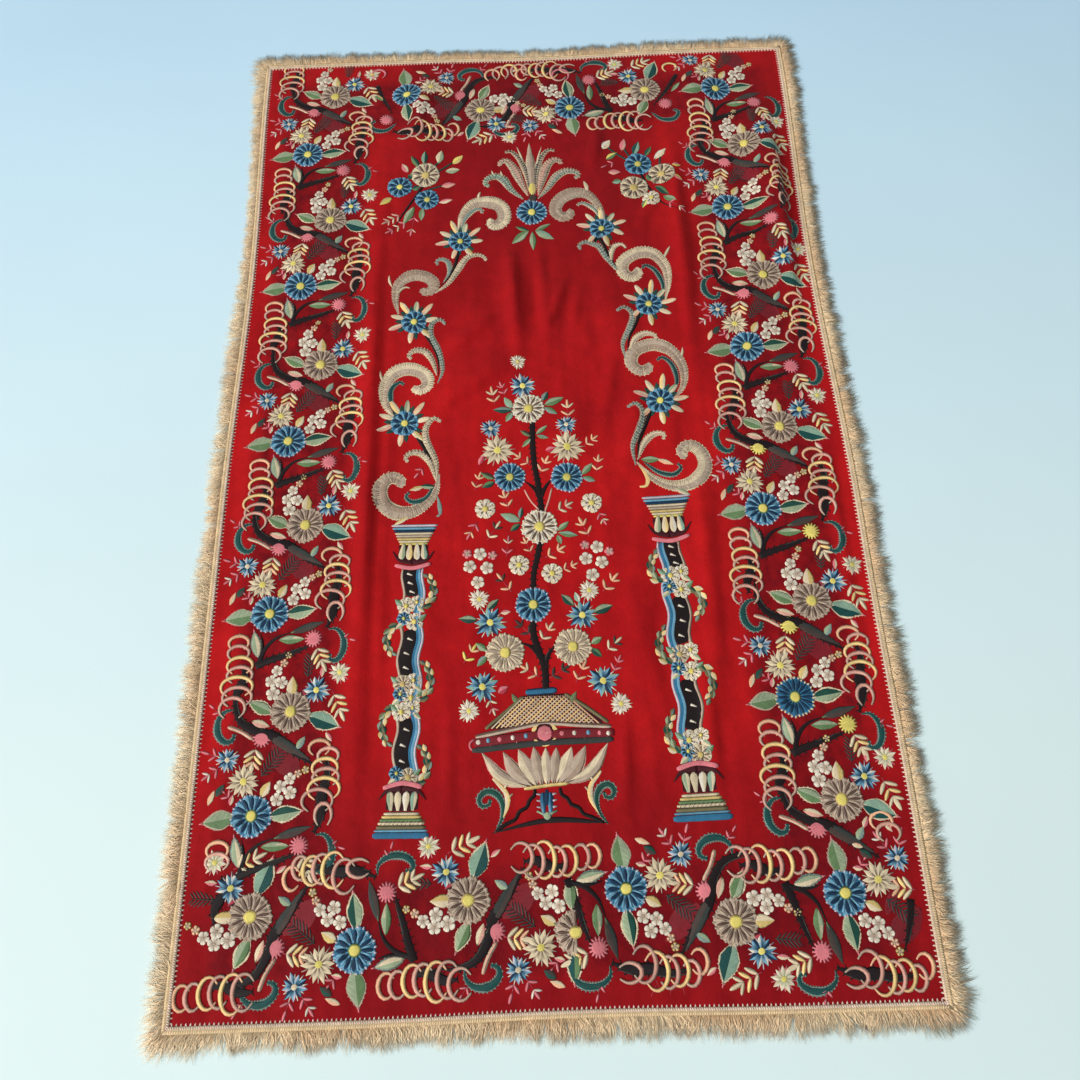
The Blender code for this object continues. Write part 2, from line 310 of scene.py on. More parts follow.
# Half widths along a stitched shape, as (share of its length, share of its full width).
OUTLINES = {
    "petal": ((0.0, 0.34), (0.3, 0.66), (0.62, 1.0), (0.82, 0.93), (0.94, 0.62), (1.0, 0.22)),
    "leaf": ((0.0, 0.1), (0.14, 0.56), (0.38, 1.0), (0.6, 0.94), (0.82, 0.5), (1.0, 0.03)),
    "ray": ((0.0, 0.42), (0.3, 0.95), (0.45, 1.0), (0.7, 0.6), (1.0, 0.05)),
    "drop": ((0.0, 0.35), (0.25, 0.9), (0.5, 1.0), (0.8, 0.82), (1.0, 0.25)),
    "wedge": ((0.0, 0.2), (0.55, 0.9), (0.8, 1.0), (1.0, 0.25)),
    "scallop": ((0.0, 0.34), (0.4, 0.66), (0.75, 1.0), (0.93, 0.92), (1.0, 0.6)),
    "ring": ((0.0, 0.35), (0.22, 0.8), (0.5, 1.0), (0.78, 0.8), (1.0, 0.35)),
    "even": ((0.0, 0.6), (0.04, 1.0), (0.96, 1.0), (1.0, 0.6)),
    "taper": ((0.0, 1.0), (0.5, 0.8), (1.0, 0.12)),
    "swell": ((0.0, 0.12), (0.3, 0.72), (0.55, 1.0), (0.8, 0.72), (1.0, 0.12)),
    "hook": ((0.0, 0.15), (0.25, 0.62), (0.5, 1.0), (0.72, 0.8), (0.9, 0.5), (1.0, 0.35)),
    "scroll": ((0.0, 0.12), (0.2, 0.5), (0.5, 1.0), (0.75, 0.9), (0.93, 0.75), (1.0, 0.4)),
    "dome": ((0.0, 0.36), (1.0, 1.0)),
}

Shape = namedtuple("Shape", "line half left right layer lay crown")
UNEVEN = np.random.default_rng(5)       # the small unevenness of work done by hand


def smooth_line(points, step=0.45):
    """A smooth line through a few chart points, as a row of closely spaced places."""
    points = np.asarray(points, float)
    padded = np.vstack([2 * points[0] - points[1], points, 2 * points[-1] - points[-2]])
    rows = []
    for a, b, c, d in zip(padded, padded[1:], padded[2:], padded[3:]):
        count = max(2, int(np.ceil(np.linalg.norm(c - b) / step)))
        t = np.arange(count)[:, None] / count
        bend = (2 * a - 5 * b + 4 * c - d) * t**2 + (3 * b - a - 3 * c + d) * t**3
        rows.append(b + 0.5 * (c - a) * t + 0.5 * bend)
    return np.vstack([*rows, points[-1:]])


def travelled_along(line):
    """How far along a line each of its points lies."""
    return np.concatenate([[0.0], np.cumsum(np.linalg.norm(np.diff(line, axis=0), axis=1))])


def along_line(line, shares):
    """The places at given shares of a line's length."""
    travelled = travelled_along(line)
    wanted = np.asarray(shares) * travelled[-1]
    return np.stack([np.interp(wanted, travelled, line[:, k]) for k in (0, 1)], axis=1)


def unit_headings(heading):
    """Headings made one unit long, and the directions to their left."""
    heading = heading / np.maximum(np.linalg.norm(heading, axis=1, keepdims=True), 1e-9)
    return heading, np.stack([-heading[:, 1], heading[:, 0]], axis=1)


def width_share(outline, shares):
    """The shares of a shape's full width at shares of its length."""
    if outline == "disc":
        return np.sqrt(np.clip(1.0 - (2 * shares - 1) ** 2, 0.01, 1.0))
    return np.interp(shares, *np.array(OUTLINES[outline]).T)


class Hoop:
    """A place on the chart to stitch at: shapes go into one shared list."""

    def __init__(self, shapes=None, x=0.0, y=0.0, turn=0.0, size=1.0):
        self.shapes = [] if shapes is None else shapes
        angle = math.radians(turn)
        cos, sin = math.cos(angle) * size, math.sin(angle) * size
        self.frame = np.array([[cos, -sin, x], [sin, cos, y], [0.0, 0.0, 1.0]])
        self.size = size

    def at(self, x, y, turn=0.0, size=1.0):
        """A hoop placed within this one."""
        inner = Hoop(self.shapes, x, y, turn, size)
        inner.frame = self.frame @ inner.frame
        inner.size = self.size * size
        return inner

    def stitch(self, points, width, outline, thread, layer, lay="across", crown=None, step=0.52,
               blend="tip"):
        """Lay one satin-stitched shape along a line.

        thread is one thread's name, (left, right) names, or (left base, right base, left tip,
        right tip).  lay says which way the stitches run over the shape, and blend where its
        second pair of threads lies, at the tip or in the middle.
        """
        line = np.asarray(points, float)
        if len(line) > 2:
            line = smooth_line(line, step)
        length = travelled_along(line)[-1]
        count = max(5 if width > 0.4 else 3, int(np.ceil(length / step)))
        shares = np.arange(count + 1) / count
        if outline not in ("even", "taper") or count < 8:
            shares = 0.55 * (0.5 - 0.5 * np.cos(np.pi * shares)) + 0.45 * shares
        placed = along_line(line, shares) @ self.frame[:2, :2].T + self.frame[:2, 2]
        half = 0.5 * width * self.size * width_share(outline, shares)
        half = half * (1.0 + UNEVEN.uniform(-0.06, 0.06, len(half)))
        names = (thread,) if isinstance(thread, str) else tuple(thread)
        names = names * 4 if len(names) == 1 else names * 2 if len(names) == 2 else names
        base_left, base_right, tip_left, tip_right = (THREADS[name] for name in names)
        rise = np.clip((shares - 0.25) / 0.35, 0.0, 1.0)
        if blend == "middle":
            rise = np.sin(np.pi * shares)
        shade = UNEVEN.normal(1.0, 0.06) * UNEVEN.uniform(0.94, 1.06, (len(shares), 1))
        left = (base_left + (tip_left - base_left) * rise[:, None]) * shade
        right = (base_right + (tip_right - base_right) * rise[:, None]) * shade
        crown = min(0.03 + 0.05 * width * self.size, 0.085) if crown is None else crown
        self.shapes.append(Shape(placed, half, left, right, layer, lay, crown))

    def tick(self, start, end, width, thread, layer, crown=0.03):
        """One short straight stitch, thinner at its far end."""
        ends = np.array((start, end), float) @ self.frame[:2, :2].T + self.frame[:2, 2]
        half = 0.5 * width * self.size * np.array((1.0, 0.45))
        tint = np.tile(THREADS[thread] * UNEVEN.normal(1.0, 0.07), (2, 1))
        self.shapes.append(Shape(ends, half, tint, tint, layer, "along", crown))

    @staticmethod
    def guides(line, shares):
        """Places on a line, its headings there and the directions to their left."""
        ends = (along_line(line, np.clip(shares + lean, 0.0, 1.0)) for lean in (0.02, -0.02))
        return along_line(line, shares), *unit_headings(next(ends) - next(ends))

    def edge_ticks(self, points, width, outline, thread, layer, reach=0.3, spacing=0.6):
        """Short stitches that stand out all along a shape's edges."""
        line = np.asarray(points, float)
        line = smooth_line(line, 0.4) if len(line) > 2 else line
        shares = np.linspace(0.08, 0.97, max(3, int(travelled_along(line)[-1] / spacing)))
        places, heading, normal = self.guides(line, shares)
        half = 0.5 * width * width_share(outline, shares)
        for side in (-1, 1):
            starts = places + side * normal * (half - 0.08)[:, None]
            ends = starts + (side * normal + 0.7 * heading) * reach
            for start, end in zip(starts, ends):
                self.tick(start, end, 0.26, thread, layer)

    def ribs(self, points, width, outline, threads, layer, spacing=0.42):
        """Single stitches from a shape's middle line towards both edges."""
        line = smooth_line(points, 0.3)
        shares = np.linspace(0.12, 0.93, max(3, int(travelled_along(line)[-1] / spacing)))
        places, heading, normal = self.guides(line, shares)
        reach = 0.5 * width * width_share(outline, shares)[:, None]
        for side in (-1, 1):
            starts = places + side * normal * 0.08
            ends = places + side * normal * reach + 0.12 * heading
            for index, (start, end) in enumerate(zip(starts, ends)):
                self.tick(start, end, 0.17, threads[index % len(threads)], layer, 0.02)

    def dot(self, x, y, radius, thread, layer, crown=None):
        """A round knot or padded disc."""
        self.stitch(
            ((x, y - radius), (x, y + radius)), 2 * radius, "disc", thread, layer, crown=crown
        )


def polar(angle, reach):
    """The chart point at an angle in degrees and a distance from the middle."""
    return (reach * math.cos(math.radians(angle)), reach * math.sin(math.radians(angle)))


DaisyLook = namedtuple("DaisyLook", "petals base tip gap rim heart")
DAISIES = {
    "blue": DaisyLook(12, "mid_blue", "light_blue", "dark_blue", "lilac", "yellow"),
    "deep blue": DaisyLook(16, "mid_blue", "mid_blue", "dark_blue", "cream", "yellow"),
    "taupe": DaisyLook(13, "taupe", "pale_taupe", "dark_taupe", "pale_taupe", "yellow"),
    "cream": DaisyLook(12, "cream", "white", "dark_taupe", "white", "yellow"),
    "small blue": DaisyLook(9, "mid_blue", "light_blue", "dark_blue", "light_blue", "yellow"),
    "small cream": DaisyLook(7, "cream", "white", "dark_taupe", "cream", "yellow"),
    "pale": DaisyLook(13, "pale_taupe", "cream", "taupe", "cream", "yellow"),
    "rose": DaisyLook(9, "pale_taupe", "cream", "dark_taupe", "pale_green", "ochre"),
}


def daisy(hoop, x, y, radius, kind, start=0.0, sweep=360.0):
    """A round flower with dark wedges between its petals, a dotted rim and a padded heart."""
    look = DAISIES[kind]
    hoop = hoop.at(x, y, start)
    count = max(2, round(look.petals * sweep / 360.0))
    pitch = sweep / count
    width = 2 * radius * math.sin(math.radians(pitch / 2))
    large = radius > 2.0
    for index in range(count):
        angle = pitch * (index + 0.5)
        reach = radius * (1.0 + 0.035 * math.sin(2.4 * index + x))
        ends = polar(angle, 0.16 * radius), polar(angle, 0.99 * reach)
        tints = (look.base, look.tip, look.tip, look.base)
        apart = kind == "small cream"
        hoop.stitch(ends, width * (0.9 if apart else 1.16), "scallop", tints, 4, "along", 0.055)
        for side in (-0.25, 0.25) if large else (0.0,):
            turned = angle + side * pitch
            hoop.tick(polar(turned, 0.9 * reach), polar(turned, 1.03 * reach), 0.5, look.rim, 6)
        ends = polar(angle, 0.84 * reach), polar(angle, 0.42 * radius)
        hoop.tick(*ends, 0.3 * width, look.tip, 8, 0.03)
        turned = angle if apart else angle - pitch / 2
        ends = polar(turned, 0.27 * radius), polar(turned, (0.7 if apart else 0.88) * radius)
        wedge = (0.48 if "blue" in kind else 0.36 if large else 0.26) * width
        hoop.stitch(ends, wedge, "wedge", look.gap, 7, "along", 0.04, 0.8)
    hoop.dot(0, 0, 0.31 * radius, "leaf_green" if "blue" in kind else "ochre", 8, 0.03)
    hoop.dot(0, 0, 0.25 * radius, look.heart, 9, 0.07)


StarLook = namedtuple("StarLook", "rays left right tip heart tick")
STARS = {
    "cream": StarLook(10, "cream", "dark_taupe", "cream", "yellow", "pale_taupe"),
    "blue": StarLook(9, "light_blue", "dark_blue", "white", "yellow", "lilac"),
    "grey": StarLook(9, "light_blue", "dark_blue", "lilac", "cream", "white"),
    "green": StarLook(9, "light_blue", "dark_blue", "mint", "yellow", "white"),
    "pale": StarLook(9, "cream", "pale_green", "white", "yellow", "pink"),
    "white": StarLook(9, "white", "taupe", "white", "yellow", "cream"),
}


def star(hoop, x, y, radius, kind):
    """A pointed flower whose rays have a light and a dark half, with ticks between them."""
    look = STARS[kind]
    hoop = hoop.at(x, y, 20.0)
    pitch = 360.0 / look.rays
    width = 1.5 * radius * math.sin(math.radians(pitch / 2))
    for index in range(look.rays):
        reach = radius * (1.0 + 0.1 * math.sin(1.9 * index + y))
        ends = polar(pitch * index, 0.1 * radius), polar(pitch * index, reach)
        tints = (look.left, look.right, look.tip, look.left)
        if index % 2 and look.left == "light_blue":
            tints = (look.right, look.right, look.left, look.right)
        hoop.stitch(ends, width, "ray", tints, 4, "along")
        turned = pitch * (index + 0.5)
        hoop.tick(polar(turned, 0.5 * reach), polar(turned, 0.98 * reach), 0.26, look.tick, 3)
    hoop.dot(0, 0, 0.24 * radius, look.heart, 7, 0.06)


def leaf(hoop, base, tip, width, left, right, rim=None, layer=2):
    """A leaf in two halves, or dull and flat in plum, with a nicked rim where rim names a thread."""
    base, tip = np.asarray(base, float), np.asarray(tip, float)
    run = tip - base
    middle = (base + tip) / 2
    if rim:
        outer = (base - 0.02 * run, middle, tip + 0.07 * run)
        hoop.stitch(outer, width + 0.34, "leaf", rim, layer, "across", 0.03)
        hoop.edge_ticks(outer, width + 0.3, "leaf", rim, layer, 0.13, 0.5)
        hoop.tick(tip + 0.02 * run, tip + 0.16 * run, 0.34, "pink", layer + 1)
    if "plum" in (left, right):
        hoop.stitch((base, middle, tip), width, "leaf", left, layer - 2, "slant", 0.012)
        return
    hoop.stitch((base, middle, tip), width, "leaf", (left, right), layer + 1, "slant")
    if width > 1.2:
        hoop.stitch((base, middle, tip - 0.1 * run), 0.2, "taper", "cream" if rim else "leaf_green",
                    layer + 3, "across", 0.03, 1.2)


def blossom(hoop, x, y, radius, thread):
    """A small round flower of five padded petals."""
    hoop.dot(x, y, 0.6 * radius, thread, 3, 0.03)
    for index in range(5):
        angle = 72 * index + 20 + 40 * x
        start, end = polar(angle, 0.12 * radius), polar(angle, radius)
        ends = (x + start[0], y + start[1]), (x + end[0], y + end[1])
        tints = ("pale_taupe", "pale_taupe", thread, thread)
        hoop.stitch(ends, 0.9 * radius, "petal", tints, 4, "along", 0.06)
    hoop.dot(x, y, 0.2 * radius, "pale_taupe", 6, 0.03)


def pom(hoop, x, y, radius, thread):
    """A fringed round flower head."""
    for index in range(15):
        start, end = polar(24 * index, 0.4 * radius), polar(24 * index + 6, 1.08 * radius)
        hoop.tick((x + start[0], y + start[1]), (x + end[0], y + end[1]), 0.42 * radius, thread, 3,
                  0.05)
    hoop.dot(x, y, 0.78 * radius, thread, 4, 0.07)
    for index in range(6):
        start, end = polar(60 * index, 0.1 * radius), polar(60 * index + 9, 0.62 * radius)
        hoop.tick((x + start[0], y + start[1]), (x + end[0], y + end[1]), 0.14 * radius,
                  "rose" if thread == "pink" else "gold", 7, 0.03)


def spray(hoop, base, tip, pairs, size, leaves):
    """A fine stem with leaflets in pairs and one at its tip."""
    base, tip = np.asarray(base, float), np.asarray(tip, float)
    run = tip - base
    heading = math.degrees(math.atan2(run[1], run[0]))
    size = 1.3 * size
    hoop.stitch((base, tip), 0.18, "taper", "rose", 2, "across", 0.03)
    leaves = (leaves,) if isinstance(leaves, str) else leaves
    for index in range(pairs):
        place = base + run * (0.22 + 0.66 * index / max(pairs - 1, 1))
        reach = size * (1.0 - 0.25 * index / max(pairs, 1))
        for side in (-1, 1):
            top = place + polar(heading + side * 50, reach)
            hoop.stitch((place, top), 0.36 * reach, "drop", leaves[index % len(leaves)], 3,
                        "along", None, 0.9)
    ends = (tip - 0.1 * run, tip + np.array(polar(heading, 0.9 * size)))
    hoop.stitch(ends, 0.38 * size, "drop", leaves[0], 3, "along")


def feather(hoop, base, tip, width):
    """A serrated dark leaf: slanting barbs on both sides of a vein."""
    base, tip = np.asarray(base, float), np.asarray(tip, float)
    run = tip - base
    heading = math.degrees(math.atan2(run[1], run[0]))
    count = max(4, round(float(np.linalg.norm(run)) / 0.62))
    for index in range(count):
        share = (index + 0.3) / count
        reach = 0.66 * width * math.sin(math.pi * (0.16 + 0.7 * share)) + 0.2
        for side in (-1, 1):
            place = base + run * share
            top = place + polar(heading + side * 46, reach)
            hoop.stitch((place, top), 0.27, "drop", ("grey_brown", "charcoal"), 2, "along", 0.02, 0.9)
    hoop.stitch((base, tip + 0.1 * run), 0.2, "taper", "charcoal", 4, "across", 0.02)


def coil(hoop, rings):
    """A row of open loops, each (x, y, width, height, thread), one over the next."""
    for index, (x, y, wide, tall, thread) in enumerate(rings):
        angles = np.radians(np.linspace(-56, 238, 9))
        points = np.stack([x + wide / 2 * np.cos(angles), y + tall / 2 * np.sin(angles)], axis=1)
        low = "peach" if thread == "gold" else "pale_taupe" if thread == "tan_pink" else thread
        hoop.stitch(points, 0.66, "ring", (low, low, thread, thread), 7 + 0.3 * index, "across",
                    0.05, blend="middle")


def cord_line(hoop, points, width, thread, rim, outline, layer=1):
    """A stem, branch or scroll, with a paler line round it where rim names a thread."""
    if rim:
        hoop.stitch(points, width + 0.32, outline, rim, layer, "across", 0.03)
    if rim and outline == "hook":
        hoop.edge_ticks(points, width + 0.3, outline, rim, layer, 0.2, 0.5)
    if outline == "hook" and width > 0.9 and thread != "teal":
        hoop.ribs(points, width, outline, ("cream", "grey_green", "cream", "charcoal"), layer + 6,
                  0.34)
    hoop.stitch(points, width, outline, thread, layer + 1)
    if outline == "scroll":
        hoop.ribs(points, width, outline, ("cream", "taupe", "pale_taupe", "taupe"), layer + 6)
        hoop.edge_ticks(points, width + 0.3, outline, rim, layer, 0.22, 0.55)
    if thread == "black_brown" and width > 0.85:
        hoop.edge_ticks(points, width, outline, thread, layer, 0.4, 1.0)
        # Painted highlight: a charcoal line along one side of a thick dark branch stands in for the sheen
        # on the black thread.
        line = smooth_line(points, 1.2)
        side = unit_headings(np.gradient(line, axis=0))[1]
        hoop.stitch(line[:-1] + 0.27 * width * side[:-1], 0.26 * width, "swell", "charcoal",
                    layer + 3, "across", 0.03, 0.8)


# Rows of the charts: each names the places and threads of one shape.
Daisy = namedtuple("Daisy", "x y radius kind")
Star = namedtuple("Star", "x y radius kind")
Leaf = namedtuple("Leaf", "base tip width left right rim",
                  defaults=("pale_green", "leaf_green", None))
Feather = namedtuple("Feather", "base tip width")
Blossom = namedtuple("Blossom", "x y radius thread", defaults=("white",))
Pom = namedtuple("Pom", "x y radius thread", defaults=("pink",))
Spray = namedtuple("Spray", "base tip pairs size leaves", defaults=("peach",))
Line = namedtuple("Line", "points width thread rim outline", defaults=(None, "hook"))
Ring = namedtuple("Ring", "x y width height thread")
SEWN_BY = {
    Daisy: daisy, Star: star, Leaf: leaf, Feather: feather, Blossom: blossom, Pom: pom, Spray: spray,
    Line: cord_line,
}
# The commonest lines, by what they draw; a plain Line is a hooked curl.
stem = partial(Line, thread="black_brown", outline="taper")
branch = partial(Line, thread="black_brown", outline="swell")
spike = partial(Line, thread="cream", outline="swell")
cord = partial(Line, outline="even")
scroll = partial(Line, outline="scroll")


def sew(hoop, rows):
    """Stitch every row of a chart; its rings make one coil."""
    for row in rows:
        if type(row) is not Ring:
            SEWN_BY[type(row)](hoop, *row)
    coil(hoop, [row for row in rows if type(row) is Ring])


# One repeat of the border, measured from the middle of its blue daisy, in groups, so that a
# corner can take a part of it.
BORDER = {
    "blue": (
        Daisy(0, 0, 3, "blue"),
        Leaf((-2.4, -0.1), (-6.9, -0.8), 2.5, "leaf_green", "pale_green", "pale_taupe"),
        Leaf((2.6, -0.2), (7.2, 0.5), 2.1, "dark_green", "pale_green", "cream"),
    ),
    "by blue": (
        Leaf((1.2, 2.6), (2.4, 4.8), 1.5, "ochre", "cream"),
        Leaf((-6.6, 1.7), (-5.8, 3.8), 0.9, "peach", "cream"),
        Leaf((-5.5, 2.9), (-4.4, 4.6), 1.2, "dark_green", "grey_brown"),
        Leaf((-3.3, 1.6), (-3, 3.1), 0.8, "pink", "cream"),
        Leaf((2.3, 10.2), (6.9, 5), 3.8, "plum", "plum"), Star(-1.6, 4.9, 2.4, "cream"),
        Star(-4.3, 8.1, 1.8, "grey"), Blossom(3.6, 2.2, 1), Blossom(5.5, 3.1, 1), Blossom(4, 4, 0.95),
        Blossom(5.3, 5.1, 0.9), Blossom(6.5, 5.8, 0.6, "peach"), Blossom(7.6, 6.3, 0.6, "ochre"),
        Spray((-0.1, 10), (-0.5, 7.4), 3, 1.5, ("cream", "gold", "peach")),
        Spray((-5.4, 7), (-7, 5.9), 2, 1, ("pink", "white")),
        Spray((-5.8, 8.6), (-7.3, 9.1), 1, 1, ("pink", "white")),
        Spray((-3.4, 2.6), (-4.3, 3.4), 1, 0.9, ("pink", "white")), Feather((1, 5.6), (3.5, 9), 2.5),
    ),
    "taupe": (
        Daisy(4.7, 15, 3.1, "taupe"),
        Leaf((1.9, 14.9), (-1.7, 16.6), 1.9, "leaf_green", "pale_green", "cream"),
        Leaf((7.5, 14.3), (12.1, 12.5), 2.6, "mint", "teal", "cream"),
        Leaf((4.7, 17), (4.7, 20.4), 1.8, "cream", "ochre"),
        Leaf((9.2, 20.1), (9.4, 21.9), 0.8, "pink", "cream"),
        Leaf((6.2, 18.3), (6.8, 16.9), 0.9, "rose", "wine"), Star(8.5, 18.1, 2.1, "blue"),
        Star(12, 20.7, 1.7, "pale"), Blossom(1.8, 17.8, 1.1), Blossom(1.4, 19.7, 1), Blossom(3, 19.5, 1),
        Blossom(2.2, 21.3, 0.9), Blossom(3.2, 22.5, 0.65, "peach"), Blossom(3.8, 23.7, 0.55, "ochre"),
        Spray((11, 17.9), (12.4, 14.8), 3, 1.5, ("cream", "gold")), Feather((7, 20.2), (7.3, 23.6), 2),
    ),
    "high branch": (
        Leaf((-1.1, 13.7), (1.7, 12.8), 1.3, "cream", "tan_pink"),
        Leaf((0.4, 12.5), (8.2, 7.6), 1.6, "charcoal", "grey_brown"),
        Leaf((6, 9.3), (7.2, 11.2), 1.2, "pale_green", "grey_green"),
        Leaf((10.3, 11.7), (11.3, 10.3), 0.8, "pink", "cream"), Pom(0.65, 11.2, 1.35),
        Spray((-6, 15), (-7.2, 15.9), 1, 0.8, ("pink", "white")),
        branch(((-3.9, 18.8), (-4, 16.4), (-2.9, 13.8), (-0.5, 12.3), (2.5, 11.3), (5.5, 9.1), (8.8, 6.9)),
             1.6),
        cord(((-4.7, 13), (-2.6, 12.2), (-0.7, 11)), 0.3, "tan_pink", "cream"),
        Line(((-3.9, 15.5), (-5.3, 15.3), (-6.3, 14), (-6.2, 12), (-5, 10.7), (-3.9, 10.9), (-3.6, 11.9)),
             0.95, "teal", "grey_green"),
    ),
    "low branch": (
        Leaf((-1.3, -6.9), (-2.2, -3), 1.5, "pale_green", "cream", "grey_green"),
        Leaf((1.8, -4.3), (5.9, -4.3), 1.5), Leaf((2.6, -4.1), (5.6, -4.1), 0.9, "cream", "ochre"),
        Leaf((3.6, -3.2), (9, -1.7), 1.4, "charcoal", "grey_brown"), Pom(7.3, -4.3, 1.3),
        Spray((7.8, -5.4), (8.9, -8), 3, 1.5, ("cream", "gold")),
        Spray((11.7, -4.2), (13.2, -4.7), 1, 0.8, ("pink", "white")),
        stem(((-1.6, -8.3), (0.8, -7.4), (4.2, -6.4), (7.2, -5.3)), 1.2),
        stem(((-1.2, -8.3), (-0.4, -5.8), (1.3, -4), (3.8, -3.1)), 0.8),
        stem(((-0.7, -6.4), (-0.8, -4.6), (-1.2, -3.2)), 0.6),
        Line(((9.6, -2.9), (10.9, -2.9), (12, -4.3), (12.1, -6.3), (11.2, -7.8), (10.1, -7.8), (10, -6.8)),
             0.9, "teal", "grey_green"),
    ),
    "inner coil": (
        branch(((10.4, 8.2), (10.8, 5.4), (10.2, 2.6), (10.3, 0.2), (9.3, -2.7)), 1.7),
        Ring(9.5, 9.4, 3.2, 2.4, "peach"), Ring(10.9, 8.2, 3.2, 2.4, "tan_pink"),
        Ring(10.5, 6.5, 3.9, 2.8, "gold"), Ring(10.7, 5.1, 4, 2.7, "tan_pink"),
        Ring(10.5, 3.4, 4.8, 3.4, "gold"), Ring(9.6, 1.8, 4.6, 3.4, "tan_pink"),
        Ring(10.6, -0.2, 2.5, 3.4, "tan_pink"),
    ),
    "outer coil": (
        branch(((-3.6, -8), (-3.1, -10.2), (-4.1, -12.4), (-4, -14.4)), 1.6),
        Ring(-4.5, -4.6, 3.2, 2.4, "peach"), Ring(-4.4, -6.2, 3.4, 2.4, "tan_pink"),
        Ring(-4, -8.2, 4, 2.8, "gold"), Ring(-3.9, -9.7, 4, 2.7, "tan_pink"),
        Ring(-4.2, -11.5, 5, 3.2, "gold"), Ring(-4, -13.1, 4.6, 3.2, "tan_pink"),
        Ring(-4.6, -14.8, 4, 3.4, "tan_pink"),
    ),
}
ALL_GROUPS = tuple(BORDER)


def sew_border_repeat(hoop, groups, rings, blue, pom_thread):
    """One repeat of the border, or some groups of it.

    rings is how many rings of the outer coil are sewn, or, below nought, how many are left out
    at its upper end.
    """
    for group in groups:
        rows = list(BORDER[group])
        if group == "outer coil" and rings > 0:
            rows = rows[:1 + rings]
        if group == "outer coil" and rings < 0:
            rows = rows[:1] + rows[1 - rings:]
        for index, row in enumerate(rows):
            if type(row) is Daisy and row.kind == "blue":
                rows[index] = row._replace(kind=blue)
            if type(row) is Pom:
                rows[index] = row._replace(thread=pom_thread)
        sew(hoop, rows)


Repeat = namedtuple("Repeat", "x y turn groups rings blue pom",
                    defaults=(ALL_GROUPS, 7, "blue", "pink"))
LEFT_BORDER = (
    Repeat(-43.7, 94.8, 0, ("outer coil",), -2),
    Repeat(-43.4, 63.9, 0),
    Repeat(-42.7, 32.5, 0),
    Repeat(-42.7, 0.6, 0),
    Repeat(-43.4, -30.0, 0),
    Repeat(-43.7, -60.5, 0, rings=2),
)
RIGHT_BORDER = (
    Repeat(38.8, 77.0, 0, ("blue", "by blue", "low branch", "outer coil")),
    Repeat(38.0, 47.0, 0),
    Repeat(38.0, 16.0, 0),
    Repeat(37.0, -15.0, 0, pom="yellow"),
    Repeat(38.0, -46.0, 0, blue="deep blue", pom="yellow"),
    Repeat(38.0, -76.0, 0, ("taupe", "high branch")),
)
NEAR_BORDER = (
    Repeat(-27.7, -78.7, 90),
    Repeat(-55.8, -79.4, 90, ("outer coil",), 6),
    Repeat(3.1, -77.5, 90, ("by blue", "taupe", "high branch")),
    Repeat(10.5, -72.0, -90),
    Repeat(41.2, -73.5, -90, ("blue", "by blue", "low branch", "inner coil", "outer coil")),
)
FAR_BORDER = (
    Repeat(-24.0, 78.5, -90, ("blue", "by blue", "taupe", "high branch", "inner coil")),
    Repeat(9.0, 73.5, 90,
           ("blue", "by blue", "high branch", "low branch", "inner coil", "outer coil")),
    Repeat(39.5, 72.8, 90, ("taupe",)),
)
BORDERS = {"left": LEFT_BORDER, "right": RIGHT_BORDER, "near": NEAR_BORDER, "far": FAR_BORDER}

# Odd bits where the repeats meet, and at the corners.
ODD_BITS = {
    "right": (
        Ring(47.9, -64.2, 3.2, 2.6, "peach"), Ring(48.7, -65.8, 3.4, 2.6, "tan_pink"),
        Leaf((45.2, -65), (46, -63.4), 0.9, "cream", "pink"),
    ),
    "near": (
        Leaf((2.7, -74.4), (2.6, -70.4), 1.8, "pale_green", "leaf_green", "cream"),
        Leaf((2.8, -79.9), (2.7, -83.6), 1.8, "leaf_green", "teal", "cream"),
        Leaf((46.5, -76.5), (48.5, -73), 1.6, "plum", "plum"),
        stem(((50.2, -74.6), (49.6, -77.4), (48.2, -81)), 1.1),
    ),
    "far": (
        Leaf((-30.6, 79), (-28.6, 77.2), 1.1, "ochre", "leaf_green"), Leaf((31.6, 78.6), (29.8, 76.6), 1.1),
        stem(((-30.2, 81.4), (-29, 78), (-27, 74)), 0.9),
        Line(((-26, 71.2), (-28, 69.4), (-30.4, 69.6), (-31.2, 71.2), (-30.2, 72)), 0.8, "teal",
             "grey_green"),
        stem(((31.2, 81), (29, 77.4), (26, 73.4)), 0.9),
        Line(((25.4, 71.4), (27.4, 69.4), (29.8, 69.4), (30.8, 71), (29.8, 71.8)), 0.8, "teal",
             "grey_green"),
        Pom(-28, 72.2, 1.3), Pom(28.4, 73.6, 1.3), Ring(-6.5, 83, 3, 3.4, "peach"),
        Ring(-4.8, 83.5, 3.2, 3.8, "tan_pink"), Ring(-3, 84, 3.2, 3.8, "gold"),
        Ring(-1, 84, 3.2, 3.8, "tan_pink"), Ring(7.5, 82.2, 3.4, 3.6, "pink"),
        Ring(-30, 84.6, 2.8, 2.6, "pink"), Ring(30, 83.2, 2.8, 2.6, "gold"),
    ),
}


def sew_border(hoop, name):
    """One whole border: its repeats, and the odd bits between them."""
    for row in BORDERS[name]:
        sew_border_repeat(hoop.at(row.x, row.y, row.turn), *row[3:])
    sew(hoop, ODD_BITS.get(name, ()))
    if name == "near":
        daisy(hoop, 3.1, -77.3, 2.9, "taupe", 90, 180)
        for x, y, lean in ((13.0, -85.6, 0.8), (14.2, -84.8, -0.5), (15.6, -85.4, 0.3),
                           (16.4, -84.6, 1.0), (17.6, -85.5, -0.4)):
            hoop.stitch(((x, y), (x + 0.5 * lean, y + 0.8), (x + lean, y + 1.4)), 0.1, "even",
                        "rose", 1, "across", 0.03)


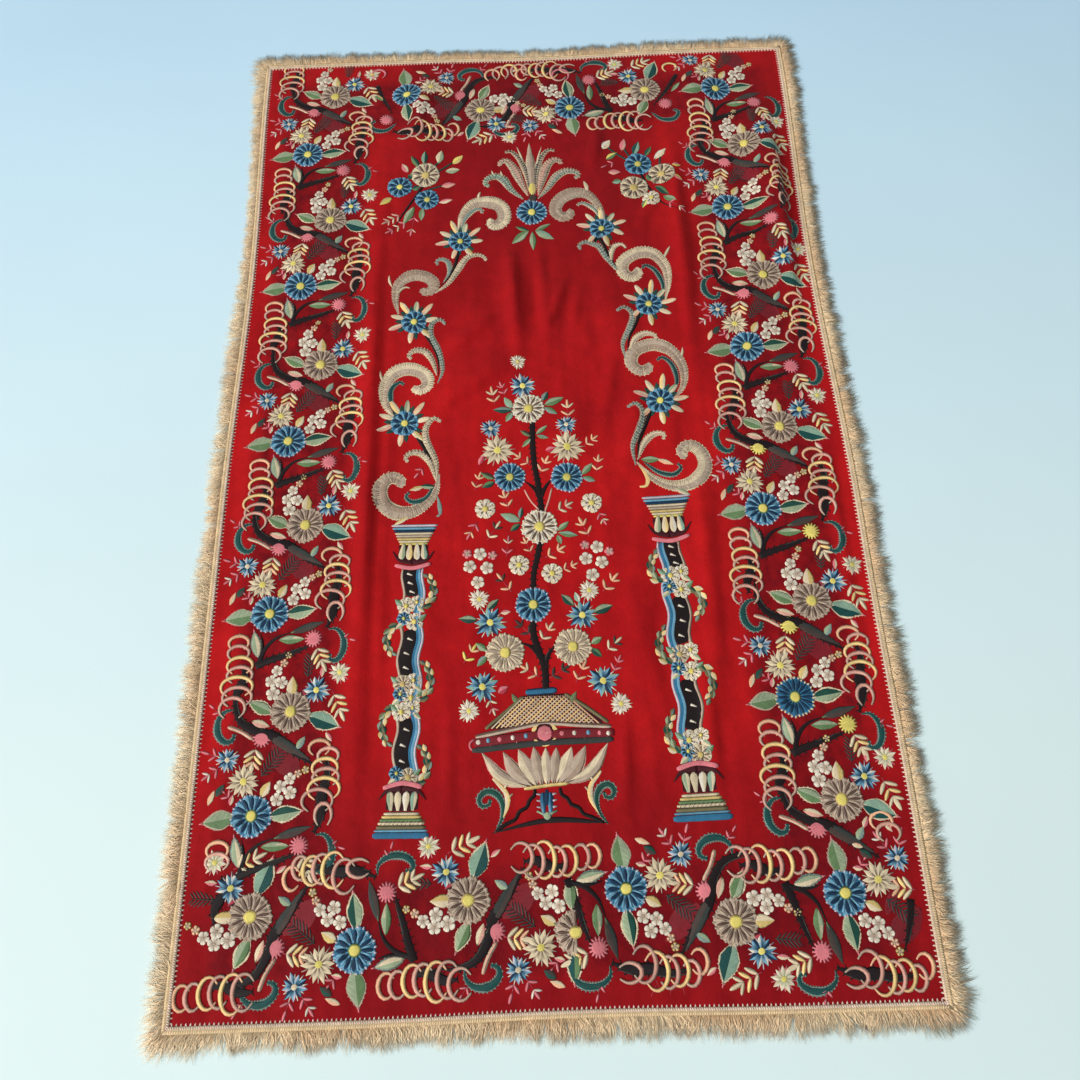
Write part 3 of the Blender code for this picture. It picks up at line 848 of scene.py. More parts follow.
TREE = (
    Daisy(-1.2, 5.2, 2.8, "cream"), Daisy(-4.7, -7.7, 2.6, "blue"), Daisy(4.9, -8.1, 2.7, "blue"),
    Daisy(0, -16.8, 2.95, "cream"), Daisy(-1.4, -30, 2.85, "blue"), Daisy(-6, -37.6, 3, "pale"),
    Daisy(4.6, -37, 2.9, "pale"), Daisy(-8.9, -13.3, 1.75, "small cream"),
    Daisy(8.8, -12.9, 1.75, "small cream"), Daisy(-3.5, -23.3, 1.7, "small cream"),
    Daisy(1.8, -24.9, 1.7, "small cream"), Star(-2.1, 9.7, 2.4, "blue"), Star(-2.8, 14.5, 1.4, "white"),
    Star(-7.8, 1.6, 1.8, "grey"), Star(5.2, 1.6, 1.8, "grey"), Star(-6.7, -2.6, 2.9, "cream"),
    Star(5.2, -2.6, 2.9, "cream"), Star(-8.3, -32.7, 2.5, "green"), Star(6.3, -32, 2.4, "green"),
    Star(-9.6, -42.8, 2.4, "green"), Star(9, -42.5, 2.4, "green"), Star(-11.7, -46.4, 1.7, "white"),
    Star(11.5, -46.1, 1.7, "white"), Star(-10, -28.8, 1.7, "white"), Star(7.6, -28, 1.7, "white"),
    Blossom(-9.8, -21.2, 1.1), Blossom(-11.5, -23.3, 1.1), Blossom(-8.7, -23.6, 1.1),
    Blossom(-10.2, -26, 1.1), Blossom(-11.9, -21.1, 0.8, "pink"), Blossom(-7.8, -21.5, 0.8, "pink"),
    Blossom(9.3, -20.7, 1.1), Blossom(7.4, -22.6, 1.1), Blossom(9.9, -23.3, 1.1), Blossom(8.3, -25.4, 1.1),
    Blossom(7.3, -20.3, 0.8, "pink"), Blossom(11.2, -21.5, 0.8, "pink"),
    Leaf((-3.9, 5), (-7.4, 5.2), 1.3, "dark_green", "grey_green"),
    Leaf((-4, 5.4), (-5.4, 7.6), 1.4, "mint", "pale_green"),
    Leaf((-4, 4.6), (-5.2, 2.8), 1.2, "mint", "leaf_green"), Leaf((1.6, 5.8), (5, 7.1), 1.6),
    Leaf((1.3, 6.6), (2.2, 8.4), 1.2, "grey_green", "dark_green"),
    Leaf((1.6, 5.3), (3.8, 3.9), 1.2, "leaf_green", "grey_green"),
    Leaf((-0.9, -0.2), (-2.7, 1), 0.9, "leaf_green", "grey_brown"), Leaf((-0.9, -0.6), (-2.5, -2.2), 0.9),
    Leaf((0, 0.2), (2, 1.8), 0.9), Leaf((0.1, -0.1), (2.1, -0.8), 0.8, "grey_green", "leaf_green"),
    Leaf((-7.3, -7.9), (-9.6, -6.7), 1.2, "leaf_green", "grey_brown"),
    Leaf((-7.3, -8.5), (-9.4, -9.4), 1.2, "dark_green", "leaf_green"), Leaf((7.5, -7.7), (9.3, -5.7), 1.3),
    Leaf((7.6, -8.2), (9.7, -9), 1.1, "leaf_green", "grey_green"),
    Leaf((-3.1, -15.7), (-6.4, -14.3), 1.6, "mint", "pale_green"),
    Leaf((-3.2, -16.2), (-4.8, -17.4), 1.1, "dark_green", "leaf_green"),
    Leaf((-3.2, -15.2), (-2.8, -13.2), 0.9, "grey_green", "dark_green"),
    Leaf((3, -17.6), (4.9, -16.1), 1.1), Leaf((3.1, -18), (6.3, -18.6), 1.1, "mint", "leaf_green"),
    Leaf((2.9, -18.4), (3.5, -20), 1),
    Leaf((-10.4, -32.2), (-13.3, -31.9), 1.4, "dark_green", "pale_green"),
    Leaf((-8.8, -30.6), (-6.9, -28.9), 1.2, "pale_green", "dark_green"),
    Leaf((-6.6, -31.2), (-5, -31), 0.9, "pink", "cream"),
    Leaf((5, -30.4), (3.1, -28.5), 1.4, "dark_green", "pale_green"),
    Leaf((5.9, -29.9), (5.3, -28.2), 1, "mint", "white"),
    Leaf((8.1, -31.6), (11.2, -30.6), 1.6, "pale_green", "dark_green"),
    Leaf((-8.9, -37.2), (-10.6, -35.9), 1.1),
    Leaf((-8.9, -38), (-10.4, -39.6), 1.2, "leaf_green", "grey_green"),
    Leaf((7.5, -36.6), (9.2, -35.7), 1.2), Leaf((7.5, -37.4), (9, -38.8), 1.2, "leaf_green", "dark_green"),
    Leaf((-9.9, -5.2), (-8.9, -3.2), 1.1, "pink", "rose"),
    Leaf((1.5, -3.1), (3.1, -2.8), 1.2, "pink", "rose"),
    Leaf((-7.2, -43.8), (-5.6, -42.9), 1.3, "pink", "rose"),
    Spray((-7, 6.4), (-7.4, 8.4), 2, 1.2, ("peach", "cream")),
    Spray((5.7, 3), (5.6, 5.3), 2, 1.2, ("peach", "cream")), Spray((-5.2, 8), (-5.8, 9.7), 2, 0.9, "pink"),
    Spray((8.2, -2.2), (9.6, -1.2), 2, 1), Spray((-1.2, -5.6), (-3.1, -4), 2, 1),
    Spray((0.4, -7.2), (1.4, -5.2), 2, 1.1), Spray((9.9, -7.4), (10.3, -5.2), 2, 1),
    Spray((-10.6, -9.8), (-9.9, -7.6), 2, 1), Spray((-5, -13.4), (-5.6, -11.2), 2, 1.1),
    Spray((3, -14), (4.6, -13.2), 2, 1.1, ("cream", "tan_pink")),
    Spray((-10.2, -15.6), (-11.4, -17.6), 2, 1, ("pink", "peach")),
    Spray((9.9, -14.6), (10.6, -16), 2, 0.9, ("pink", "cream")),
    Spray((-8.6, -18.8), (-7.1, -16.6), 2, 1.1, ("cream", "grey_brown")),
    Spray((8.1, -18.8), (7.1, -16.6), 2, 1.2),
    Spray((-5.5, -21.8), (-5.2, -19.2), 2, 0.9, ("pink", "cream")),
    Spray((-1.4, -21.4), (-2.3, -19.4), 2, 0.9), Spray((0.8, -22.2), (3.1, -20.9), 2, 1.1),
    Spray((3.4, -24.4), (5.1, -23.7), 2, 0.9),
    Spray((-4.8, -27.8), (-6.4, -25.6), 2, 1.1, ("peach", "grey_brown")),
    Spray((9.8, -28.2), (11.5, -26.3), 2, 1.2), Spray((-1.9, -35), (-3.5, -33.3), 2, 1, "grey_brown"),
    Spray((-0.4, -36), (1, -34), 2, 1.1, ("cream", "peach")),
    Spray((-12.5, -39), (-11.1, -37), 2, 1.1, ("yellow", "peach")),
    Spray((9.8, -37.8), (11.3, -36.6), 2, 1.1, ("cream", "grey_brown")),
    Spray((-0.8, -41.6), (-2.8, -40.3), 2, 1.1, ("peach", "cream")),
    Spray((0.8, -41.8), (3, -40.5), 2, 1.1, "grey_brown"), Spray((4.8, -42.6), (6, -40.3), 2, 1.1),
    Spray((-8.6, -44.6), (-8, -46.3), 2, 0.9, ("cream", "pink")),
    Spray((10.6, -41.2), (11.5, -39.5), 2, 0.9, "pink"),
    cord(((-0.6, 3), (-0.7, -1.5), (-0.5, -5.5), (0, -9), (0.5, -14.5)), 0.95, "black_brown"),
    stem(((0.3, -12), (-0.6, -10), (-2.4, -8.4)), 0.8), stem(((0.4, -11.6), (1.2, -9.8), (2.6, -8)), 0.8),
    cord(((0.1, -19), (-0.5, -22), (-1.2, -25), (-1.3, -28)), 0.9, "black_brown"),
    cord(((-1.5, -32.4), (-1.5, -35), (-0.6, -38), (0.1, -40.5), (0.1, -43.6)), 1.05, "black_brown"),
    stem(((-0.5, -38.6), (-1.8, -36.9), (-3.8, -36)), 0.8),
    stem(((0.1, -40.2), (0.7, -38.2), (1.9, -36.5)), 0.9),
    cord(((-2.3, -10.1), (-1.4, -12), (0, -13.8)), 0.3, "tan_pink"),
    cord(((2.3, -10), (1.7, -12.2), (1, -14.2)), 0.34, "tan_pink"),
)
PALMETTE = (
    Line(((0.9, 51.6), (0.7, 58), (0.55, 64.8)), 1.7, ("pale_taupe", "taupe"), "cream", "leaf"),
    Line(((0.4, 52), (-0.2, 57), (-1.4, 60.6), (-3, 62.7), (-4.3, 62.6)), 0.95, ("taupe", "charcoal"),
         "cream"),
    Line(((1.4, 52), (1.8, 57), (2.8, 60.8), (4.3, 62.8), (5.6, 62.5)), 0.95, ("charcoal", "taupe"),
         "cream"),
    spike(((-0.2, 56), (-0.9, 60.6), (-1.9, 63.9)), 0.5), spike(((1.8, 56), (2.2, 60.6), (3, 63.7)), 0.5),
    Line(((0, 51.6), (-1.4, 55.2), (-2.6, 58.4), (-4.1, 60.5), (-5.3, 60), (-5.3, 59.2)), 1.5,
         ("pale_taupe", "tan_pink"), "cream"),
    Line(((2, 51.6), (2.8, 55.2), (3.7, 58.4), (5.1, 60.2), (6.5, 59.9), (6.6, 59.1)), 1.6, ("tan_pink",
         "taupe"), "cream"),
    Line(((-0.9, 50.8), (-3.2, 53.2), (-4.7, 55.8), (-6.4, 56.7), (-8, 55.9), (-8.2, 54.8), (-7.4, 54.3)),
         1.4, ("grey_green", "mint"), "cream"),
    Line(((1.9, 50.8), (3.8, 53.2), (5.5, 55.9), (7.5, 57.3), (9.4, 57), (10, 56.1), (9.2, 55.4)), 1.4,
         ("pale_taupe", "grey_green"), "cream"),
    spike(((-5.6, 56.2), (-6.5, 57), (-7, 58.2)), 0.5),
    spike(((-4.2, 55.6), (-4.9, 56.8), (-5.2, 58)), 0.5),
    Leaf((0.9, 51.6), (0.9, 55.4), 1.5, "yellow", "ochre"), Leaf((-0.1, 43.4), (-3.3, 40.3), 1.7),
    Leaf((1.2, 43.2), (4.6, 41.1), 1.7, "mint", "pale_green"),
    Leaf((0.6, 43), (0.7, 38.7), 1.3, "leaf_green", "pale_green"),
    Leaf((-0.2, 43.2), (-2.6, 44.3), 1, "leaf_green", "dark_green"), Leaf((1.2, 43.2), (4.1, 44.7), 1.1),
)
# Long C and S shapes with a hooked end, from the crown of the arch down.
ARCH_LEFT = (
    scroll(((-13.5, 44.2), (-12.7, 47.6), (-10.8, 50.1), (-8, 50.5), (-5.5, 49.5), (-4.6, 47.3),
         (-5.1, 45.4), (-6.6, 44.8), (-7.3, 45.5), (-7, 46.4)), 2.5, ("cream", "pale_taupe"), "pale_taupe"),
    Line(((-13, 44.2), (-12, 47), (-10.2, 48.8), (-8.9, 48.6), (-9, 47.8)), 0.8, "grey_green", "cream"),
    spike(((-9.6, 51), (-9.5, 52.2), (-9.2, 53)), 0.7),
    Line(((-17.6, 29.5), (-15.2, 31.6), (-13.5, 34.6), (-11.9, 37.4), (-9.9, 38.1), (-8.6, 37.5),
         (-8.3, 36.6)), 1, ("cream", "pale_taupe"), "cream"),
    stem(((-13.4, 39.4), (-14, 36), (-15.2, 33), (-17, 30.6)), 0.7),
    Line(((-16.2, 31.6), (-15.1, 34), (-15.3, 36.6), (-16.7, 37.5), (-17.6, 36.9), (-17.2, 36.2)), 0.75,
         "grey_green", "pale_taupe"),
    scroll(((-24.3, 25.4), (-25, 28.8), (-24.6, 32), (-22.3, 34), (-19.5, 33.6), (-17.9, 31.8),
         (-18.3, 30.2), (-19.6, 30), (-20.1, 30.9)), 2.1, ("taupe", "pale_taupe"), "pale_taupe"),
    Line(((-24.8, 28), (-24.6, 30.2), (-23.3, 31.5), (-22.4, 31.2)), 0.7, "cream"),
    spike(((-25.6, 31.4), (-26.2, 32.8), (-26.3, 34.2)), 0.6),
    Line(((-17, 10.6), (-16.2, 13.4), (-16.9, 17.2), (-18.4, 20.8), (-18.1, 23.3), (-16.6, 24),
         (-15.8, 23)), 0.95, "grey_green", "pale_taupe"),
    stem(((-19.8, 21.6), (-18, 18.6), (-17, 15.6), (-16.9, 12)), 0.6),
    Line(((-17.2, 12.4), (-18, 15.4), (-19.4, 17.5), (-21.2, 17.8), (-22.3, 16.8), (-21.8, 16)), 0.95,
         ("cream", "pale_taupe"), "cream"),
    scroll(((-24, 3.8), (-26.2, 7), (-26.3, 10.6), (-24.6, 13.4), (-21.8, 14), (-19.2, 12.6), (-18.8, 10.4),
         (-20.2, 9.5), (-21.5, 10.2)), 2.3, ("cream", "pale_taupe"), "cream"),
    Line(((-23.8, 4.4), (-25.2, 7.6), (-25.2, 10), (-23.8, 11.4), (-23, 10.8)), 0.75, "teal", "grey_green"),
    spike(((-26.3, 10.8), (-27, 12.4), (-27.2, 13.6)), 0.6),
    Line(((-17, -7.6), (-17.2, -4.2), (-18.8, -0.6), (-19, 2.2), (-17.6, 3.9), (-16.4, 3.2)), 0.95,
         ("cream", "pale_taupe"), "cream"),
    stem(((-21, 1.4), (-19.4, -1.4), (-18, -4.4), (-17, -8.4)), 0.7),
    Line(((-17, -8.2), (-18, -4.8), (-19.4, -2.9), (-21.2, -2.4), (-22.4, -3.2), (-22, -4.2)), 0.95,
         ("cream", "pale_taupe"), "cream"),
    scroll(((-16.6, -6.6), (-17.4, -10.4), (-20.2, -13), (-23.6, -13.4), (-26, -11.6), (-26.4, -8.8),
         (-24.9, -7), (-23.1, -7.6), (-23.3, -8.8)), 2.3, ("pale_taupe", "taupe"), "cream"),
    Line(((-17.4, -8.4), (-18.8, -11), (-21, -11.6), (-22.2, -10.6), (-21.6, -9.8)), 0.7, "teal",
         "grey_green"),
    Leaf((-21.4, -14.1), (-24.2, -15.7), 0.8, "cream", "ochre"),
    Leaf((-17.4, -9), (-19.9, -8.7), 1, "pale_green", "dark_green"),
    Leaf((-19.2, -8.9), (-21.6, -9.4), 0.9, "cream", "ochre"),
    Line(((-16.9, -10.6), (-16.5, -12.4), (-16.4, -14), (-17, -14.3)), 0.8, "grey_green"),
    Spray((-19.4, -5.4), (-20.2, -6.4), 1, 0.9, ("pink", "rose")),
)
ARCH_RIGHT = (
    scroll(((14.6, 44.8), (13.4, 48.6), (11.3, 51.4), (8.5, 51.8), (6, 50.3), (5.1, 48), (6, 46.4),
         (7.4, 46.3), (8, 47.2), (7.5, 47.8)), 2.3, ("pale_taupe", "taupe"), "pale_taupe"),
    spike(((11.4, 51.8), (11.4, 53.2), (10.9, 54.6)), 0.9),
    Line(((14, 45), (12.6, 47.8), (10.4, 49.4), (9.4, 48.8)), 0.7, "grey_green", "cream"),
    Line(((18.4, 32.6), (16.2, 33.6), (14.4, 36.2), (12.6, 39), (10.6, 40.2), (9.2, 39.4), (9.6, 38.5)),
         0.95, "grey_green", "pale_taupe"),
    stem(((13, 41), (14.2, 38), (15.4, 35.2), (17, 32.8)), 0.7),
    Line(((15.6, 33.6), (15, 36), (15.6, 38.6), (17.2, 39.4), (18, 38.4)), 0.75, "cream", "pale_taupe"),
    scroll(((24.4, 26.6), (25.2, 30), (25, 33.8), (23, 36.9), (20, 37.2), (17.2, 35.2), (17.2, 32.7),
         (18.8, 31.8), (20, 32.8), (19.4, 33.7)), 2.3, ("pale_taupe", "cream"), "cream"),
    Line(((24, 27), (24.2, 30.2), (23, 33.2), (21.2, 34.4), (20.8, 33.6)), 0.7, "teal", "grey_green"),
    spike(((24.6, 35.2), (25.4, 36.8), (26.2, 38.2)), 0.7),
    Line(((16.2, 14.4), (16, 17.4), (17.6, 20.8), (18.2, 23.6), (16.8, 25.1), (15.3, 24.2)), 0.95,
         "grey_green", "pale_taupe"),
    stem(((19.6, 24.2), (18.6, 21.4), (17.2, 18.4), (16.6, 14.8)), 0.6),
    Line(((17, 15.4), (18.2, 18.2), (20.2, 19.6), (22, 19), (21.8, 18)), 0.9, ("cream", "pale_taupe"),
         "cream"),
    scroll(((24, 5.8), (26, 8.6), (26.3, 12.2), (24.6, 15.6), (21.4, 17.2), (18, 15.8), (17.2, 13.4),
         (18.6, 11.8), (20.3, 12.3), (20, 13.3)), 2.2, ("taupe", "pale_taupe"), "cream"),
    Line(((23.8, 6.6), (25, 9.6), (24.4, 12.8), (22.8, 14.4), (21.8, 13.8)), 0.7, "teal", "grey_green"),
    spike(((25.6, 13.6), (26.4, 15), (26.6, 16.4)), 0.6),
    Line(((16.6, -6.4), (16.3, -3), (17.8, 0.4), (18.6, 3.4), (17.4, 5.2), (15.9, 4.6)), 0.95, "grey_green",
         "pale_taupe"),
    stem(((20.2, 4.4), (18.8, 1), (17.4, -2.4), (17, -6.4)), 0.7),
    Line(((17, -5.4), (18.4, -2.2), (20.2, -0.6), (21.8, -0.8), (21.6, -1.8)), 0.9, ("cream", "pale_taupe"),
         "cream"),
    scroll(((16.8, -5.8), (19.4, -8.8), (22.6, -10.4), (26, -9.9), (28.2, -7.4), (27.8, -4.4), (25.8, -3),
         (24.4, -4.4), (25.3, -5.3)), 2.2, ("cream", "pale_taupe"), "cream"),
    Line(((18, -5.8), (20.4, -7.8), (22.8, -8.4), (24.2, -7.2), (23.6, -6.4)), 0.7, "teal", "grey_green"),
    Leaf((22.6, -10.6), (25.3, -12.3), 1, "pale_green", "cream"), Leaf((17.6, -5.3), (20.9, -5.5), 1.3),
    Leaf((20.3, -5.4), (23, -6.6), 0.9, "cream", "peach"),
    Line(((17.1, -6.4), (18, -7.6), (18.5, -9), (18.1, -10.2), (17, -10.3)), 0.85, "gold"),
)
ARCH_FLOWERS = (
    # x, y, radius, the middle direction of its long petals in degrees
    (-13.1, 41.4, 2.2, 100), (-21.4, 23.5, 2.3, 110), (-22.7, 3.2, 2.4, 110),
    (13.7, 43.1, 2.3, 80), (21.3, 25.8, 2.4, 70), (21.7, 5.7, 2.4, 70),
)
BOUQUETS = (
    Daisy(-19.9, 57.6, 2.8, "rose"), Daisy(-24.9, 54.9, 2.4, "small blue"),
    Daisy(-19.5, 51.6, 2.3, "small blue"), Daisy(21.7, 58.3, 2.6, "small blue"),
    Daisy(26, 55.4, 2.5, "rose"), Daisy(20.5, 52.6, 2.7, "rose"), Daisy(23.6, 49.6, 1.7, "small cream"),
    Leaf((-17.4, 60.4), (-16.8, 63.6), 1.6, "cream", "pale_green"),
    Leaf((-14.6, 60.2), (-12.6, 62.2), 1.6, "yellow", "ochre"),
    Leaf((-16, 58.4), (-13.2, 58.7), 1.6, "cream", "pale_green"),
    Leaf((-16.8, 54.8), (-14, 55.2), 1.5, "pink", "tan_pink"),
    Leaf((-26.4, 52.4), (-28.6, 50.6), 1.5, "yellow", "ochre"),
    Leaf((-23.4, 58.4), (-24.6, 60.6), 1.3, "pink", "cream"),
    Leaf((-20.2, 60.2), (-20, 63.2), 1.4, "mint", "dark_green"),
    Leaf((-21.2, 59.6), (-22.8, 62.2), 1.3, "leaf_green", "dark_green"),
    Leaf((-22, 50), (-24, 45.8), 1.6, "leaf_green", "pale_green"), Leaf((-20.4, 49.6), (-20.6, 46.6), 1.3),
    Leaf((-17.2, 50.8), (-14.6, 51.4), 1.2, "pink", "cream"),
    Leaf((-22.2, 57), (-23.4, 57.8), 1.4, "dark_green", "leaf_green"),
    Leaf((-22.4, 54.2), (-21, 54.9), 1.4, "teal", "leaf_green"),
    Leaf((15, 62.4), (16.6, 64.6), 1.7, "white", "cream"),
    Leaf((18.8, 61.8), (19.4, 64.8), 1.4, "pink", "tan_pink"),
    Leaf((15.6, 59.8), (17.8, 61.4), 1.4, "yellow", "leaf_green"),
    Leaf((15.8, 56.6), (18.2, 56.5), 1.4, "pink", "tan_pink"),
    Leaf((21, 60.6), (22.2, 64), 1.5, "teal", "mint"),
    Leaf((25, 59.4), (27.4, 61.6), 1.6, "white", "cream"),
    Leaf((23.2, 60.2), (24.6, 62.6), 1.2, "dark_green", "leaf_green"),
    Leaf((28.2, 57.2), (30, 57.4), 1.1, "pink", "yellow"),
    Leaf((28.2, 54.6), (30, 53.6), 1.1, "yellow", "pink"),
    Leaf((24.6, 52.4), (27, 50.2), 1.5, "leaf_green", "dark_green"), Leaf((26, 50), (28.2, 48.2), 1.3),
    Leaf((22.8, 49.6), (21.8, 47.4), 1.2, "yellow", "leaf_green"),
    Leaf((18.2, 54.4), (16.4, 54), 1.3, "mint", "leaf_green"),
    Leaf((23.2, 55.6), (24.2, 54), 1.4, "dark_green", "leaf_green"),
    Spray((-24.4, 48.4), (-27, 46.6), 3, 1.1, ("tan_pink", "cream")),
    Spray((-23, 46.6), (-26.4, 44.4), 3, 1, ("pink", "cream")),
    Spray((-21.8, 48.2), (-22.4, 44.2), 2, 1, ("pink", "tan_pink")),
    Spray((26.4, 48.6), (29, 46.6), 2, 1, ("pink", "cream")),
    Spray((17.2, 59), (15.4, 58.2), 1, 0.9, ("pink", "cream")),
    stem(((-19.8, 56), (-22.4, 51.4), (-24.6, 47.4), (-26.6, 43.2)), 0.55),
    cord(((-17, 61), (-18.4, 59.4), (-19.8, 57)), 0.4, "dark_green"),
    cord(((-14.6, 60.6), (-17.2, 58.6), (-19.8, 57)), 0.4, "dark_green"),
    cord(((-16.2, 55), (-18.2, 54.4), (-20.8, 53.4)), 0.4, "dark_green"),
    stem(((21.7, 57), (23.6, 52), (25.6, 48.6), (28.2, 46.2)), 0.55),
    cord(((16, 62.8), (18.4, 60.4), (21, 58.6)), 0.4, "dark_green"),
    cord(((19.2, 62.4), (20, 60.6), (21.4, 58.6)), 0.4, "dark_green"),
    cord(((26.2, 60.2), (25.8, 57.6), (24.6, 53.6)), 0.4, "dark_green"),
)
VASE_LINES = (
    cord(((-3, -43.9), (1.8, -43.7)), 0.75, "mid_blue", "dark_blue"),
    cord(((-3.4, -44.5), (-5.8, -46.5), (-9.2, -49.2)), 0.6, "olive"),
    cord(((3, -44.3), (5.8, -46.1), (9.4, -48.8)), 0.6, "olive"),
    cord(((-10.7, -50.3), (-5, -49.3), (-0.3, -48.6), (5, -49), (9.8, -49.4)), 0.75, ("dark_taupe",
         "pale_taupe")),
    cord(((-11, -51.2), (-0.3, -50.3), (10.2, -50.3)), 1.5, "plum"),
    cord(((-11.2, -52.3), (-5, -51.8), (-0.3, -51.5), (5, -51.4), (10, -51.3)), 0.95, "charcoal"),
    cord(((-10.9, -50.6), (-11.7, -51.4), (-11.2, -52.3)), 0.35, "pink"),
    cord(((-7.9, -50.4), (-8.7, -52)), 0.2, "tan_pink"),
    cord(((-3.9, -50), (-4.7, -51.6)), 0.2, "tan_pink"), cord(((5, -49.9), (5.8, -51.2)), 0.2, "tan_pink"),
    cord(((8.4, -50), (9.4, -51.4)), 0.2, "tan_pink"),
    cord(((-3.6, -58), (0, -57.6), (3.1, -57.4)), 0.6, ("gold", "ochre")),
    cord(((-2, -58.1), (-2.1, -59), (-2.9, -59.7), (-3.2, -60.6), (-4.4, -61.2), (-4.9, -62.2),
         (-6.2, -62.8), (-7.9, -63.8)), 0.55, "black_brown"),
    cord(((1.7, -58), (1.9, -59), (2.8, -59.6), (3.2, -60.4), (4.4, -60.9), (5, -61.8), (6.3, -62.3),
         (7.9, -63.1)), 0.55, "black_brown"),
    branch(((-8.4, -64), (0, -62.5), (8.4, -63.1)), 0.85),
    Line(((-8, -64), (-6.9, -62), (-6.8, -60), (-7.7, -58.6), (-9.2, -58.2), (-10.3, -59.2), (-9.8, -60.3),
         (-8.7, -60), (-8.7, -59.3)), 0.8, "dark_green", "grey_green"),
    Line(((8.5, -63.3), (7.2, -61.4), (7, -59.4), (7.8, -58), (9.1, -57.8), (9.7, -58.8), (9.1, -59.7),
         (8.2, -59.4), (8.2, -58.8)), 0.8, "dark_green", "grey_green"),
    Line(((-7.2, -62.6), (-6.1, -60.4), (-6.2, -58.6), (-7.4, -57.2), (-8.2, -56.4)), 0.85, ("cream",
         "gold")),
    Line(((7.4, -62), (6.2, -59.8), (6.3, -57.8), (7.3, -56.6), (7.9, -55.8)), 0.85, ("gold", "cream")),
)
VASE_PETALS = (
    # base x, base y, middle x, middle y, tip x, tip y, width
    (-2.8, -57.7, -6.9, -56.2, -9.8, -52.6, 1.7), (2.6, -57.4, 6.4, -55.8, 9.2, -51.8, 1.7),
    (-2.2, -57.6, -4.8, -55.6, -6.6, -52.6, 2.0), (2.0, -57.4, 4.2, -55.2, 5.8, -52.1, 2.0),
    (-1.6, -57.6, -3.0, -55.2, -4.3, -52.3, 2.1), (1.3, -57.4, 2.6, -55.0, 3.7, -52.2, 2.1),
    (-0.9, -57.6, -1.5, -55.0, -2.0, -52.0, 1.9), (0.7, -57.4, 1.1, -55.0, 1.4, -52.2, 1.8),
    (-0.1, -57.6, -0.2, -55.0, -0.2, -52.2, 1.9),
)
VASE_STUDS = ((-10.3, -51.1), (-8.8, -50.9), (-7.1, -50.8), (-5.1, -50.6), (-3.1, -50.4),
              (2.3, -50.2), (4.2, -50.2), (6.3, -50.2), (8.0, -50.3), (9.3, -50.4))
# The two columns, each drawn upright from the middle of its base; side says where its blue lies.
# dark holds the lower and upper ends of the shaft's dark stretches, flowers the heights of the
# garlands, and wreaths the rooted and the free end of each leafy loop, the inner side first.
Column = namedtuple("Column", "base_x base_y top_x top_y side dark flowers wreaths")
COLUMN_HEIGHT = 48.6
COLUMNS = (
    Column(-21.7, -64.4, -20.6, -15.8, 1, ((9.7, 17.1), (23.7, 30.9), (36.4, 41.2)),
           (8.6, 18.2, 20.3, 22.4, 32.2, 34.8),
           ((7.6, 13.4), (18.9, 13.0), (20.0, 26.1), (31.8, 26.8), (34.6, 40.2))),
    Column(22.3, -63.4, 21.2, -12.3, -1, ((12.4, 19.6), (25.0, 32.2), (36.9, 41.2)),
           (8.9, 11.0, 20.8, 23.4, 33.3, 35.6),
           ((9.1, 15.2), (21.7, 16.1), (21.9, 27.6), (33.6, 28.6), (34.4, 39.6))),
)
# y from the base, half width, thickness, thread
COLUMN_BANDS = (
    (0.5, 4.1, 0.9, "mid_blue"), (1.15, 3.9, 0.35, "light_blue"), (1.6, 3.6, 0.6, "olive"),
    (2.15, 3.4, 0.5, "cream"), (2.6, 3.15, 0.5, "leaf_green"), (3.05, 2.9, 0.5, "ochre"),
    (3.5, 2.6, 0.45, "cream"),
    (45.4, 2.3, 0.45, "yellow"), (45.8, 2.5, 0.45, "cream"), (46.25, 2.75, 0.5, "ochre"),
    (46.75, 2.95, 0.5, "pale_taupe"), (47.2, 3.15, 0.45, "cream"), (47.65, 3.4, 0.5, "dark_blue"),
    (48.1, 3.6, 0.5, "light_blue"), (48.6, 3.8, 0.45, "lilac"),
)
LOOP = ((1.9, 0.0), (3.1, 0.16), (3.6, 0.46), (3.2, 0.78), (2.2, 1.0))    # out, share of its height
LOOP_LEAVES = (("dark_green", "olive"), ("cream", "ochre"), ("pale_green", "olive"),
               ("gold", "cream"), ("olive", "grey_green"))


